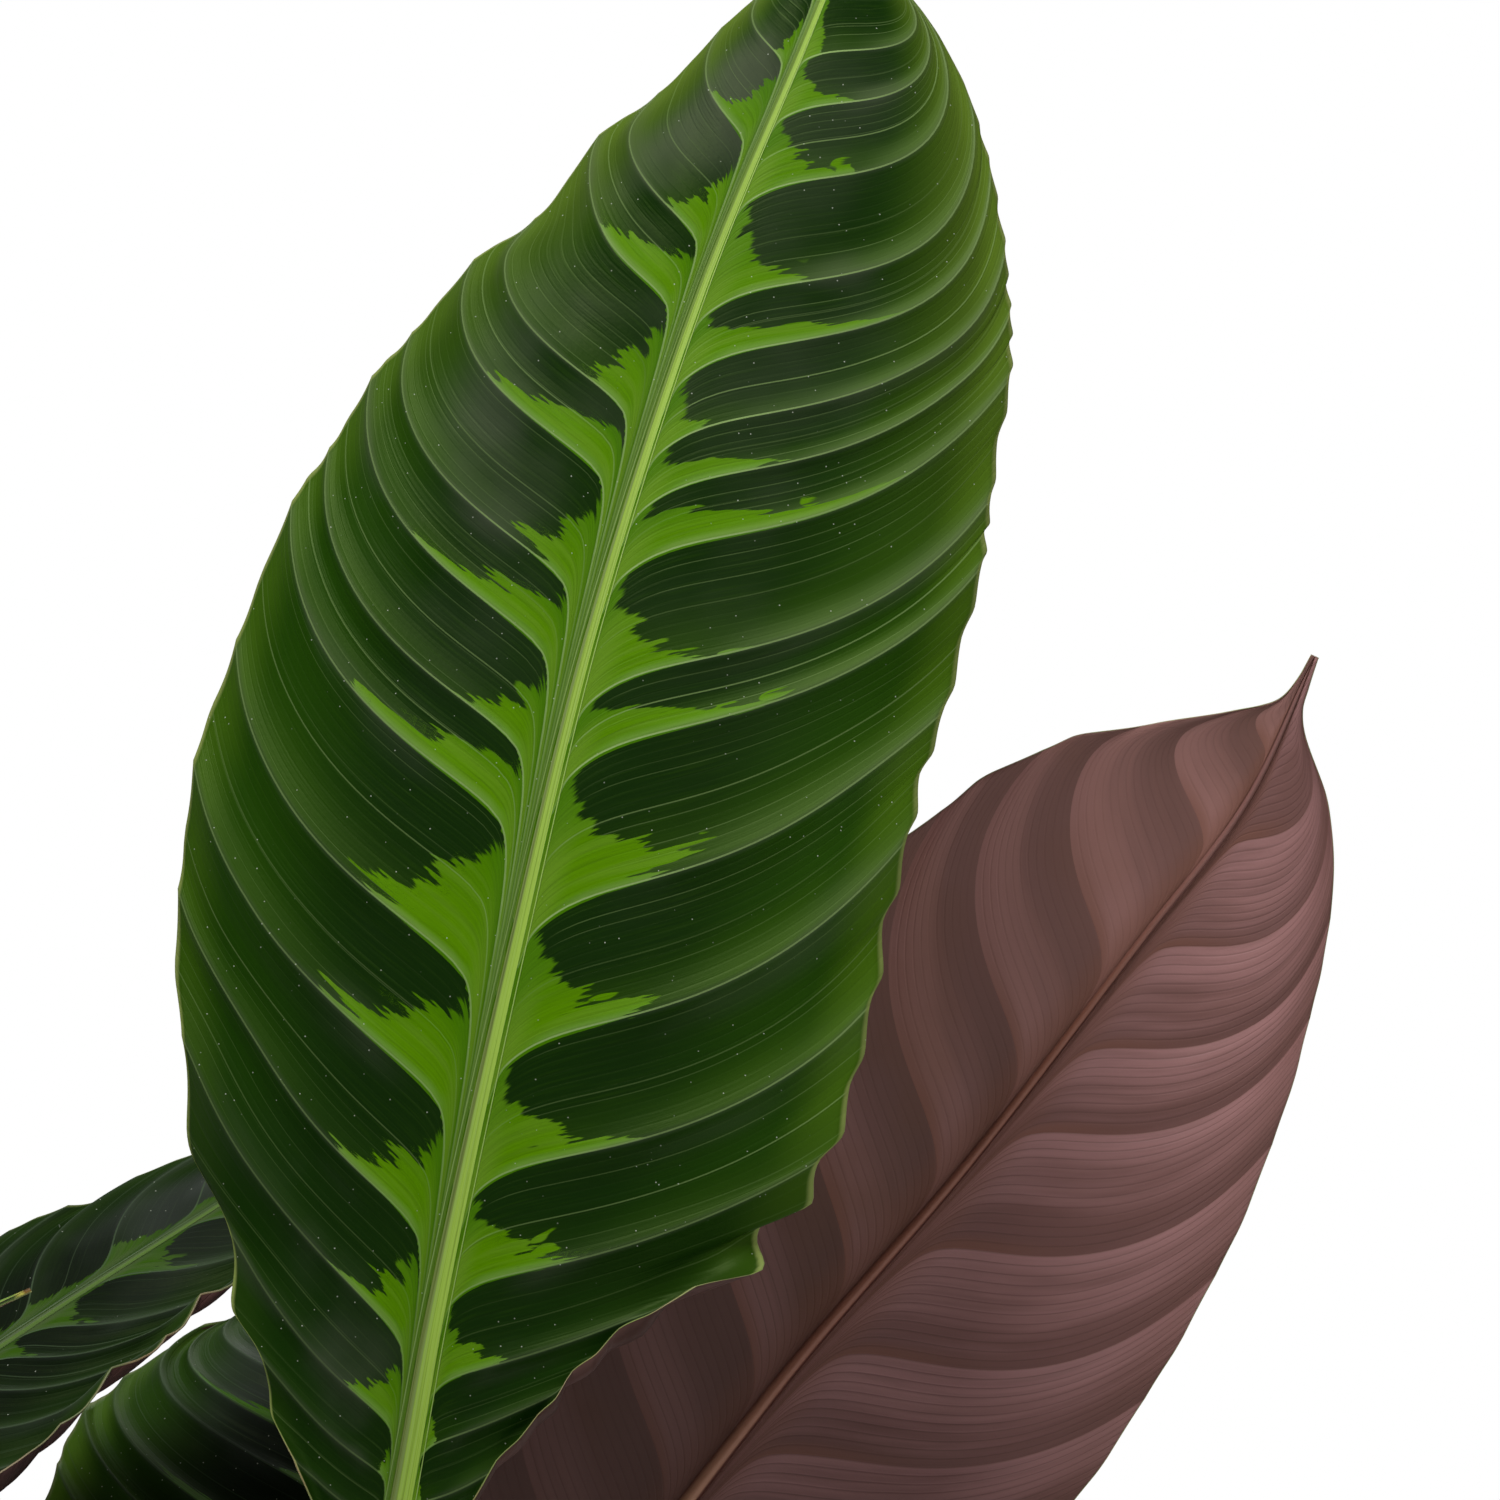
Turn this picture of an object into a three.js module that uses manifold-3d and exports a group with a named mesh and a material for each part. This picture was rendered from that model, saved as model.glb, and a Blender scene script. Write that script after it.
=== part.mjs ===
// A potted calathea warscewiczii: a round pot, its soil and twelve long-stalked leaves.
// Millimetres, +Z up, origin at the middle of the pot's underside, front of the plant towards -Y.
import * as THREE from 'three';
import { mergeVertices } from 'three/addons/utils/BufferGeometryUtils.js';
import Module from 'manifold-3d';

// Driving dimensions of the pot and the soil
const POT_HEIGHT = 190;
const POT_FOOT_RADIUS = 76;
const POT_MOUTH_RADIUS = 102;
const POT_WALL = 2.6;
const POT_FLOOR = 4;
const POT_SIDES = 48;
const FOOT_BEVEL = 2.5;
const RIM_HEIGHT = 26;
const RIM_OVERHANG = 5;
const LIP_BEVEL = 1.2;
const DRAIN_HOLES = 6;
const DRAIN_RADIUS = 5;
const DRAIN_CIRCLE = 52;
const DRAIN_SIDES = 12;
const SOIL_LEVEL = 170;
const SOIL_DOME = 5;
const SOIL_LUMPS = 1.2;
const SOIL_RINGS = 7;
const CLEARANCE = 0.3;

// Driving dimensions that all leaves share
const BLADE_THICKNESS = 0.9;
const STALK_FOOT_LEVEL = 148;
const STALK_CLEAR_LEVEL = 184;
const STALK_FOOT_RADIUS = 4.4;
const STALK_SIDES = 6;
const STALK_RINGS = 9;
const SWELLING_LENGTH = 24;
const SWELLING = 0.7;
const RIB_RELIEF = 0.95;
const RIB_TIP_SHARE = 0.2;
const RIB_BLEND = 0.08;
const ROLL_START = 0.8;
const PATH_STEPS = 120;
const SECTION_STEPS = 32;

// Half-width of an ordinary blade along its length, as a share of its widest half-width
const PLAIN_OUTLINE = [
  [0, 0.06], [0.03, 0.3], [0.1, 0.62], [0.2, 0.87], [0.32, 0.98], [0.45, 1], [0.6, 0.93],
  [0.75, 0.74], [0.87, 0.43], [0.925, 0.18], [0.955, 0.045], [1, 0.03],
];
// How far a side vein runs towards the tip on its way out, as a share of the blade's length
const PLAIN_SWEEP = [
  [0, 0], [0.1, 0.11], [0.25, 0.19], [0.5, 0.2], [0.65, 0.185], [0.8, 0.14], [0.9, 0.075], [1, 0],
];
const PLAIN_COLUMNS = [0, 0.36, 0.7, 1];
const NONE = [[0, 0], [1, 0]];

// What a blade has where its own entry below says nothing else. Each table runs along the blade, from 0 at its
// base to 1 at its tip. fold and droop are the slopes in degrees of each half at the midrib and at the margin,
// roll is how far the margin curls over the upper side, pleat is the depth between two side veins, and ruffle is
// the wave of the margin.
const PLAIN_BLADE = {
  ribRadius: 2.2,
  sweepLeft: PLAIN_SWEEP,
  sweepRight: PLAIN_SWEEP,
  foldLeft: [[0, 28], [0.2, 14], [1, 8]],
  foldRight: [[0, 28], [0.2, 14], [1, 8]],
  droopLeft: [[0, 5], [0.2, -18], [1, -30]],
  droopRight: [[0, 5], [0.2, -18], [1, -30]],
  rollLeft: NONE,
  rollRight: NONE,
  pleat: [[0, 0.3], [0.15, 1.4], [0.5, 2], [0.8, 1.4], [0.93, 0.5], [1, 0]],
  ruffle: [[0, 0], [0.2, 1.5], [0.8, 1], [1, 0]],
  scallop: 0.025,
  columns: PLAIN_COLUMNS,
};

// Where the side veins of an ordinary blade leave its midrib: evenly but for a small sway
function plainVeins(count, phase) {
  const veins = [];
  for (let i = 0; i <= count; i += 1) {
    const t = i / count;
    const sway = 0.16 * Math.sin(2.4 * i + phase) * Math.sin(Math.PI * t);
    veins.push((t + sway / count) ** 1.08);
  }
  return veins;
}

// An ordinary leaf, from its widest half-width and its number of side veins
function plainLeaf({ halfWidth, veins, phase, ...rest }) {
  const outline = PLAIN_OUTLINE.map(([along, share]) => [along, share * halfWidth]);
  return {
    ...PLAIN_BLADE,
    left: outline,
    right: outline,
    veinsLeft: plainVeins(veins, phase),
    veinsRight: plainVeins(veins, phase + 1.9),
    phase,
    ...rest,
  };
}

// The leaves. foot is where the stalk stands in the soil, stalk and midrib are points on the leaf's middle line
// up to the blade and on to the tip, and face is the way the upper side looks at the base, middle and tip.
const LEAVES = {
  leaf_tall: {
    ...PLAIN_BLADE,
    foot: [8, 6],
    stalk: [[16, 2, 225], [42, -10, 300], [70, -24, 372]],
    midrib: [
      [86, -32, 424], [100, -40, 496], [118.5, -38, 581], [138, -24, 662.5], [165, 0, 747.5],
      [191, 24, 811.5], [203, 42, 842],
    ],
    face: [[-0.1, -1, 0.1], [0, -1, 0.05], [0.12, -1, 0.45]],
    ribRadius: 3,
    left: [
      [0, 3], [0.02, 13], [0.05, 25], [0.1, 38], [0.16, 55], [0.22, 72], [0.28, 80], [0.35, 92], [0.45, 94],
      [0.55, 90], [0.65, 79], [0.75, 57], [0.85, 35], [0.92, 19], [0.965, 9], [0.985, 3], [1, 1],
    ],
    right: [
      [0, 3], [0.02, 9], [0.05, 18], [0.1, 27], [0.16, 46], [0.22, 69], [0.28, 86], [0.38, 92], [0.5, 91],
      [0.6, 93], [0.7, 88], [0.8, 77], [0.88, 59], [0.94, 40], [0.975, 21], [0.988, 5], [1, 1],
    ],
    veinsLeft: [
      0, 0.03, 0.054, 0.078, 0.112, 0.182, 0.248, 0.325, 0.418, 0.455, 0.517, 0.555, 0.632, 0.665,
      0.748, 0.785, 0.848, 0.9, 0.95, 1,
    ],
    veinsRight: [
      0, 0.045, 0.075, 0.112, 0.178, 0.232, 0.285, 0.388, 0.475, 0.52, 0.59, 0.65, 0.675, 0.712,
      0.745, 0.822, 0.862, 0.91, 0.955, 1,
    ],
    sweepLeft: [
      [0, 0], [0.06, 0.07], [0.12, 0.16], [0.25, 0.185], [0.45, 0.165], [0.65, 0.115], [0.85, 0.075], [1, 0],
    ],
    sweepRight: [
      [0, 0], [0.11, 0.095], [0.24, 0.165], [0.32, 0.19], [0.7, 0.2], [0.82, 0.155], [0.92, 0.07], [1, 0],
    ],
    foldLeft: [[0, 30], [0.2, 12], [1, 8]],
    foldRight: [[0, 30], [0.2, 12], [1, 8]],
    droopLeft: [[0, 0], [0.2, -25], [0.6, -35], [1, -50]],
    droopRight: [[0, 0], [0.2, -15], [0.6, -20], [1, -20]],
    rollLeft: [[0, 0], [0.03, 60], [0.05, 110], [0.07, 60], [0.1, 0], [1, 0]],
    rollRight: [[0, 0], [0.03, 50], [0.06, 130], [0.12, 160], [0.18, 160], [0.21, 80], [0.235, 0], [1, 0]],
    pleat: [[0, 0.5], [0.1, 1.5], [0.3, 3], [0.6, 2.2], [0.8, 1.6], [1, 0]],
    ruffle: [[0, 0], [0.12, 2], [0.25, 3], [0.4, 1.5], [1, 0]],
    scallop: 0.045,
    phase: 0.6,
    columns: [0, 0.26, 0.5, 0.7, 0.82, 0.91, 1],
  },
  leaf_reverse: {
    ...PLAIN_BLADE,
    foot: [20, 14],
    stalk: [[27, 21, 220], [52, 34, 262]],
    midrib: [
      [93, 46, 309.5], [128.5, 54, 391], [180.5, 58, 465.5], [230.5, 58, 526.5], [274.5, 54, 583.5],
      [303, 48, 619.5], [322, 40, 656.5],
    ],
    face: [[-0.1, 1, 0.1], [0, 1, 0], [0.1, 1, 0.2]],
    ribRadius: 2.6,
    left: [
      [0, 3], [0.02, 14], [0.06, 30], [0.12, 46], [0.2, 62], [0.3, 75], [0.4, 81], [0.5, 81], [0.6, 76],
      [0.7, 67], [0.8, 53], [0.87, 37], [0.92, 20], [0.95, 7], [0.965, 3], [0.98, 2], [1, 1],
    ],
    right: [
      [0, 3], [0.02, 14], [0.06, 30], [0.12, 46], [0.2, 62], [0.3, 74], [0.4, 80], [0.5, 81], [0.6, 78],
      [0.7, 70], [0.8, 57], [0.87, 43], [0.92, 28], [0.95, 13], [0.965, 5], [0.98, 2], [1, 1],
    ],
    veinsLeft: [0, 0.04, 0.09, 0.15, 0.22, 0.3, 0.38, 0.46, 0.545, 0.635, 0.7, 0.78, 0.865, 1],
    veinsRight: [0, 0.04, 0.09, 0.16, 0.24, 0.33, 0.42, 0.505, 0.59, 0.67, 0.755, 0.857, 0.93, 1],
    foldLeft: [[0, 25], [0.2, 8], [1, 4]],
    foldRight: [[0, 25], [0.2, 8], [1, 4]],
    droopLeft: [[0, 0], [0.2, -20], [1, -20]],
    droopRight: [[0, 0], [0.2, -20], [1, -20]],
    pleat: [[0, 0.4], [0.15, 1.6], [0.5, 2.2], [0.8, 1.6], [0.93, 0.5], [1, 0]],
    ruffle: [[0, 0], [0.2, 1], [0.8, 0.6], [1, 0]],
    scallop: 0.012,
    phase: 1.6,
    columns: [0, 0.3, 0.6, 0.82, 1],
  },
  leaf_left: {
    ...plainLeaf({ halfWidth: 55, veins: 14, phase: 1.6 }),
    foot: [-34, 30],
    stalk: [[-44, 34, 220], [-74, 44, 290], [-108, 53, 352]],
    midrib: [
      [-124, 62, 392.5], [-81.5, 74, 431.5], [-18, 92, 477], [37.5, 112, 512.5], [69, 126, 532],
      [98, 138, 546],
    ],
    face: [[-0.35, -0.62, 0.7], [-0.35, -0.62, 0.7], [-0.35, -0.55, 0.72]],
    left: [
      [0, 3], [0.03, 15], [0.1, 32], [0.2, 43], [0.32, 47], [0.45, 46], [0.6, 38], [0.75, 27], [0.87, 16],
      [0.93, 8], [0.965, 3.5], [1, 1],
    ],
    right: [
      [0, 3], [0.03, 15], [0.1, 34], [0.2, 49], [0.32, 54], [0.45, 45], [0.6, 34], [0.75, 28], [0.87, 19],
      [0.93, 10], [0.965, 4], [1, 1],
    ],
    veinsLeft: [0, 0.04, 0.09, 0.14, 0.2, 0.26, 0.32, 0.38, 0.44, 0.51, 0.6, 0.7, 0.8, 0.9, 1],
    veinsRight: [0, 0.05, 0.1, 0.16, 0.22, 0.285, 0.35, 0.41, 0.46, 0.51, 0.6, 0.7, 0.8, 0.9, 1],
    foldLeft: [[0, 25], [0.2, 15], [1, 10]],
    foldRight: [[0, 25], [0.2, 8], [1, 8]],
    droopLeft: [[0, 0], [0.2, -8], [1, -12]],
    droopRight: [[0, 0], [0.2, -15], [1, -20]],
    rollRight: [[0, 0], [0.08, 60], [0.2, 110], [0.5, 120], [0.8, 90], [0.92, 0], [1, 0]],
    columns: [0, 0.3, 0.6, 0.82, 0.91, 1],
  },
  leaf_behind: {
    ...plainLeaf({ halfWidth: 84, veins: 14, phase: 0.9 }),
    foot: [12, 34],
    stalk: [[17, 41, 220], [32, 56, 250]],
    midrib: [
      [64.5, 82, 276.5], [70, 92, 325], [75, 112, 370], [78.5, 145, 420], [80, 190, 465], [79, 240, 495],
    ],
    face: [[0.3, -0.9, 0.3], [0.2, -0.75, 0.6], [0.1, -0.5, 0.85]],
    left: [
      [0, 3], [0.03, 18], [0.1, 40], [0.2, 63], [0.32, 79], [0.45, 88], [0.6, 92], [0.75, 81], [0.87, 54],
      [0.93, 26], [0.965, 6], [1, 1],
    ],
    right: [
      [0, 3], [0.03, 18], [0.1, 36], [0.2, 50], [0.32, 60], [0.45, 64], [0.6, 60], [0.75, 50], [0.87, 32],
      [0.93, 18], [0.965, 6], [1, 1],
    ],
    foldLeft: [[0, 25], [0.2, 12], [1, 8]],
    foldRight: [[0, 25], [0.2, 12], [1, 8]],
    droopRight: [[0, 0], [0.2, -30], [1, -40]],
    pleat: [[0, 0.4], [0.15, 2], [0.5, 4], [0.8, 3], [0.93, 0.5], [1, 0]],
    columns: [0, 0.3, 0.6, 0.82, 1],
  },
  leaf_left_tip: plainLeaf({
    halfWidth: 38,
    veins: 10,
    phase: 0.3,
    foot: [-34, -8],
    stalk: [[-46, -12, 222], [-96, -30, 282]],
    midrib: [[-122, -34, 326], [-112, -26, 390], [-76, -10, 446], [-38, 2, 480], [-4.5, 10, 496]],
    face: [[0.7, -0.5, 0.4], [0.1, -0.5, 0.9], [-0.4, -0.3, 0.9]],
  }),
  leaf_left_front: plainLeaf({
    halfWidth: 62,
    veins: 11,
    phase: 2.2,
    foot: [-20, -24],
    stalk: [[-26, -34, 225], [-54, -72, 300]],
    midrib: [[-76, -94, 348], [-118, -122, 430], [-160, -140, 512], [-198, -146, 590], [-226, -140, 662]],
    face: [[0.6, 0.3, 0.6], [0.55, 0.4, 0.7], [0.5, 0.4, 0.8]],
  }),
  leaf_left_back: plainLeaf({
    halfWidth: 66,
    veins: 12,
    phase: 4.1,
    foot: [-16, 50],
    stalk: [[-22, 66, 235], [-54, 116, 330]],
    midrib: [[-78, 146, 380], [-122, 192, 470], [-160, 226, 560], [-196, 246, 640], [-226, 250, 694]],
    face: [[0.4, -0.7, 0.4], [0.45, -0.6, 0.6], [0.5, -0.4, 0.75]],
  }),
  leaf_right_back: plainLeaf({
    halfWidth: 56,
    veins: 10,
    phase: 5.2,
    foot: [30, 42],
    stalk: [[44, 70, 238], [82, 128, 312]],
    midrib: [[104, 160, 342], [146, 216, 382], [184, 268, 396], [214, 312, 382], [236, 344, 350]],
    face: [[-0.3, -0.5, 0.8], [0, 0, 1], [0.4, 0.5, 0.8]],
  }),
  leaf_right_front: plainLeaf({
    halfWidth: 52,
    veins: 10,
    phase: 3.3,
    foot: [30, -8],
    stalk: [[40, -18, 222], [84, -56, 286]],
    midrib: [[108, -76, 312], [156, -112, 346], [206, -144, 358], [250, -166, 344], [286, -178, 312]],
    face: [[-0.5, 0.4, 0.8], [0, 0, 1], [0.5, -0.3, 0.8]],
  }),
  leaf_front: plainLeaf({
    halfWidth: 50,
    veins: 10,
    phase: 1.1,
    foot: [2, -30],
    stalk: [[2, -46, 224], [-8, -102, 286]],
    midrib: [[-14, -128, 308], [-30, -180, 336], [-46, -234, 340], [-60, -282, 318], [-70, -320, 278]],
    face: [[0.1, 0.6, 0.8], [0, 0, 1], [-0.1, -0.6, 0.8]],
  }),
  leaf_left_low: plainLeaf({
    halfWidth: 48,
    veins: 10,
    phase: 2.8,
    foot: [-46, 10],
    stalk: [[-60, 12, 222], [-114, 22, 274]],
    midrib: [[-142, 28, 294], [-192, 38, 322], [-242, 46, 326], [-286, 50, 302], [-320, 50, 262]],
    face: [[0.6, 0.1, 0.8], [0, 0, 1], [-0.6, 0, 0.8]],
  }),
  leaf_back: plainLeaf({
    halfWidth: 50,
    veins: 10,
    phase: 0.2,
    foot: [0, 66],
    stalk: [[2, 82, 222], [6, 132, 282]],
    midrib: [[8, 158, 304], [16, 212, 334], [26, 266, 340], [34, 314, 318], [38, 352, 280]],
    face: [[0, -0.6, 0.8], [0, 0, 1], [0, 0.6, 0.8]],
  }),
};

// Smooth curve through a table's points (x, y), with central slopes
function tableAt(table, x) {
  const last = table.length - 1;
  const at = Math.min(Math.max(x, table[0][0]), table[last][0]);
  let i = 0;
  while (i < last - 1 && at >= table[i + 1][0]) i += 1;
  const slope = (k) => {
    const a = table[Math.max(k - 1, 0)];
    const b = table[Math.min(k + 1, last)];
    return (b[1] - a[1]) / (b[0] - a[0]);
  };
  const [x0, y0] = table[i];
  const [x1, y1] = table[i + 1];
  const h = x1 - x0;
  const t = (at - x0) / h;
  return (1 + 2 * t) * (1 - t) ** 2 * y0 + t * (1 - t) ** 2 * h * slope(i)
    + t * t * (3 - 2 * t) * y1 + t * t * (t - 1) * h * slope(i + 1);
}

const clamp01 = (x) => Math.min(Math.max(x, 0), 1);
const ease = (x) => clamp01(x) ** 2 * (3 - 2 * clamp01(x));
const radians = (degrees) => (degrees * Math.PI) / 180;

// The path of a side vein towards the tip: close along the midrib, straight out, then along the margin
const veinBend = (p) => 0.11 * (1 - Math.exp(-p / 0.07)) + 0.45 * p + 0.44 * p ** 3.5;

// Sum of vectors, each given with its factor
function blend(...pairs) {
  const sum = new THREE.Vector3();
  for (const [vector, factor] of pairs) sum.addScaledVector(vector, factor);
  return sum;
}

// The middle line of a leaf, measured by its length, with the frames of its stalk and its blade
class LeafShape {
  constructor(leaf) {
    this.leaf = leaf;
    const [footX, footY] = leaf.foot;
    const stalk = [[footX, footY, STALK_FOOT_LEVEL], [footX, footY, STALK_CLEAR_LEVEL], ...leaf.stalk];
    const points = [...stalk, ...leaf.midrib].map(([x, y, z]) => new THREE.Vector3(x, y, z));
    const curve = new THREE.CatmullRomCurve3(points, false, 'centripetal');
    const steps = (points.length - 1) * PATH_STEPS;
    this.samples = [];
    this.lengths = [0];
    for (let i = 0; i <= steps; i += 1) {
      this.samples.push(curve.getPoint(i / steps));
      if (i > 0) this.lengths.push(this.lengths[i - 1] + this.samples[i].distanceTo(this.samples[i - 1]));
    }
    this.bladeStart = this.lengths[stalk.length * PATH_STEPS];
    this.bladeLength = this.lengths[steps] - this.bladeStart;
    this.face = leaf.face.map(([x, y, z]) => new THREE.Vector3(x, y, z).normalize());
    this.veinTables = [leaf.veinsLeft, leaf.veinsRight].map((veins) => veins.map((along, i) => [i, along]));
  }

  pointAt(length) {
    const last = this.lengths.length - 1;
    const at = Math.min(Math.max(length, 0), this.lengths[last]);
    let low = 0;
    let high = last;
    while (high - low > 1) {
      const middle = (low + high) >> 1;
      if (this.lengths[middle] <= at) low = middle;
      else high = middle;
    }
    const t = (at - this.lengths[low]) / (this.lengths[high] - this.lengths[low]);
    return this.samples[low].clone().lerp(this.samples[high], t);
  }

  tangentAt(length) {
    const reach = 1.5;
    return this.pointAt(length + reach).sub(this.pointAt(length - reach)).normalize();
  }

  // Middle point, way the upper side faces and way to the right, at a share of the blade's length
  bladeFrame(along) {
    const length = this.bladeStart + along * this.bladeLength;
    const tangent = this.tangentAt(length);
    const t = clamp01(along);
    const [base, middle, tip] = this.face;
    const up = blend([base, (1 - t) ** 2], [middle, 2 * t * (1 - t)], [tip, t * t]);
    up.addScaledVector(tangent, -up.dot(tangent)).normalize();
    return { middle: this.pointAt(length), up, right: tangent.clone().cross(up) };
  }

  // Ring of points round the stalk, turned as the blade is and carried down along the stalk without twist
  stalkRing(length, radius) {
    let up = this.bladeFrame(0).up;
    const steps = 40;
    for (let i = 1; i <= steps; i += 1) {
      const tangent = this.tangentAt(this.bladeStart + ((length - this.bladeStart) * i) / steps);
      up = up.clone().addScaledVector(tangent, -up.dot(tangent)).normalize();
    }
    const tangent = this.tangentAt(length);
    const right = tangent.clone().cross(up);
    const centre = this.pointAt(length).addScaledVector(tangent, Math.min(length, 0));
    const ring = [];
    for (let k = 0; k < STALK_SIDES; k += 1) {
      const angle = (2 * Math.PI * k) / STALK_SIDES;
      ring.push(blend([centre, 1], [right, -radius * Math.cos(angle)], [up, radius * Math.sin(angle)]));
    }
    return ring;
  }

  stalkRadius(length) {
    const share = clamp01(length / this.bladeStart);
    const swell = ease(1 - (this.bladeStart - length) / SWELLING_LENGTH);
    return STALK_FOOT_RADIUS + (this.leaf.ribRadius - STALK_FOOT_RADIUS) * share + SWELLING * swell;
  }

  ribRadius(along) {
    return this.leaf.ribRadius * (1 - (1 - RIB_TIP_SHARE) * along);
  }

  // Share of the blade's length at which the rows of both halves leave the rib
  ribStation(row) {
    return Math.min(...this.veinTables.map((table) => tableAt(table, row)));
  }

  // Point of the blade and the way its upper side faces there. row counts the side veins from the base, p runs
  // from the rib's edge at 0 to the margin at 1, and side is 1 on the right and -1 on the left.
  bladePoint(row, p, side) {
    const { leaf } = this;
    const pick = (name) => leaf[name + (side > 0 ? 'Right' : 'Left')];
    const nearRib = this.ribStation(row);
    const away = clamp01(p / RIB_BLEND);
    const ownStation = tableAt(this.veinTables[side > 0 ? 1 : 0], row);
    const station = nearRib + (ownStation - nearRib) * away * (2 - away);
    const along = station + tableAt(pick('sweep'), station) * veinBend(p);
    const { middle, up, right } = this.bladeFrame(along);
    const rib = this.ribRadius(along);
    const width = Math.max(tableAt(side > 0 ? leaf.right : leaf.left, along), rib + 0.6) - rib;
    const wave = Math.abs(Math.sin(Math.PI * row));
    const scallop = leaf.scallop * (wave - 0.55) * clamp01(along / 0.1) * clamp01((1 - along) / 0.15);
    const fold = radians(tableAt(pick('fold'), along));
    const droop = radians(tableAt(pick('droop'), along));
    const roll = radians(tableAt(pick('roll'), along));
    const slopeAt = (x) => fold + (droop - fold) * x + roll * ease((x - ROLL_START) / (1 - ROLL_START));
    let out = rib;
    let rise = 0;
    for (let k = 0; k < SECTION_STEPS; k += 1) {
      const x = (p * (k + 0.5)) / SECTION_STEPS;
      const step = ((width * p) / SECTION_STEPS) * (1 + 5 * scallop * x ** 4);
      out += Math.cos(slopeAt(x)) * step;
      rise += Math.sin(slopeAt(x)) * step;
    }
    const slope = slopeAt(p);
    const normal = blend([up, Math.cos(slope)], [right, -side * Math.sin(slope)]);
    const trough = -tableAt(leaf.pleat, along) * wave * ease(p / 0.55) * (1 - 0.25 * p);
    const turn = Math.PI * row + leaf.phase * (side > 0 ? 1 : 2);
    const ruffle = tableAt(leaf.ruffle, along) * Math.sin(turn) * p ** 4;
    const point = blend([middle, 1], [right, side * out], [up, rise], [normal, trough + ruffle]);
    return { point, normal, along };
  }

  // Ring round the blade along one vein row: over the top from left to right, and back below
  bladeRing(row) {
    const { columns } = this.leaf;
    const nearRib = this.ribStation(row);
    const { middle, up } = this.bladeFrame(nearRib);
    const line = [
      ...columns.map((p) => this.bladePoint(row, p, -1)).reverse(),
      { point: middle, normal: up, along: nearRib, isRib: true },
      ...columns.map((p) => this.bladePoint(row, p, 1)),
    ];
    const half = BLADE_THICKNESS / 2;
    const top = line.map(({ point, normal }) => blend([point, 1], [normal, half]));
    const below = line.map(({ point, normal, along, isRib }) => {
      const depth = half + (isRib ? this.ribRadius(along) * RIB_RELIEF * 2 : 0);
      return blend([point, 1], [normal, -depth]);
    });
    return [...top, ...below.reverse()];
  }
}

// Closed surface through rings of points, each ring given in the same turning sense
class RingSurface {
  constructor() {
    this.points = [];
    this.triangles = [];
  }

  addRing(ring) {
    const first = this.points.length;
    this.points.push(...ring);
    return ring.map((_, k) => first + k);
  }

  // Two rings of different size: the next triangle always goes to the ring that is behind
  bridge(a, b) {
    let i = 0;
    let j = 0;
    while (i < a.length || j < b.length) {
      const nextA = a[(i + 1) % a.length];
      const nextB = b[(j + 1) % b.length];
      const here = [a[i % a.length], b[j % b.length]];
      const advanceA = j >= b.length || (i < a.length && (i + 1) / a.length <= (j + 1) / b.length);
      if (advanceA) {
        this.triangles.push([here[0], nextA, here[1]]);
        i += 1;
      } else {
        this.triangles.push([here[0], nextB, here[1]]);
        j += 1;
      }
    }
  }

  // Two rings of the same size. splitsInward says for the k-th face which of its diagonals is the edge.
  join(a, b, splitsInward = () => true) {
    for (let k = 0; k < a.length; k += 1) {
      const m = (k + 1) % a.length;
      if (splitsInward(k)) this.triangles.push([a[k], a[m], b[m]], [a[k], b[m], b[k]]);
      else this.triangles.push([a[k], a[m], b[k]], [a[m], b[m], b[k]]);
    }
  }

  closeStart(ring) {
    for (let k = 1; k < ring.length - 1; k += 1) this.triangles.push([ring[0], ring[k + 1], ring[k]]);
  }

  closeEnd(ring) {
    for (let k = 1; k < ring.length - 1; k += 1) this.triangles.push([ring[0], ring[k], ring[k + 1]]);
  }

  // End of a flat ring: strips between its upper and its lower side
  closeFlatEnd(ring) {
    const last = ring.length - 1;
    for (let k = 0; k < ring.length / 2 - 1; k += 1) {
      const [above, nextAbove, below, nextBelow] = [ring[k], ring[k + 1], ring[last - k], ring[last - k - 1]];
      this.triangles.push([above, nextAbove, nextBelow], [above, nextBelow, below]);
    }
  }

  geometry() {
    const made = new THREE.BufferGeometry().setFromPoints(this.points);
    made.setIndex(this.triangles.flat());
    return made;
  }
}

function leafGeometry(leaf) {
  const shape = new LeafShape(leaf);
  const surface = new RingSurface();
  const gap = leaf.ribRadius;
  const clearLength = STALK_CLEAR_LEVEL - STALK_FOOT_LEVEL;
  const lengths = [0];
  for (let i = 0; i < STALK_RINGS; i += 1) {
    lengths.push(clearLength + ((shape.bladeStart - gap - clearLength) * i) / (STALK_RINGS - 1));
  }
  let previous = null;
  for (const length of lengths) {
    const ring = surface.addRing(shape.stalkRing(length, shape.stalkRadius(length)));
    if (previous) surface.join(previous, ring);
    else surface.closeStart(ring);
    previous = ring;
  }
  const side = leaf.columns.length;
  const splitsInward = (k) => k < side || (k > 2 * side && k <= 3 * side);
  const rows = 2 * (leaf.veinsLeft.length - 1);
  for (let row = 0; row <= rows; row += 1) {
    const ring = surface.addRing(shape.bladeRing(row / 2));
    if (row === 0) surface.bridge(previous, ring);
    else surface.join(previous, ring, splitsInward);
    previous = ring;
  }
  surface.closeFlatEnd(previous);
  return surface.geometry();
}

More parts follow.
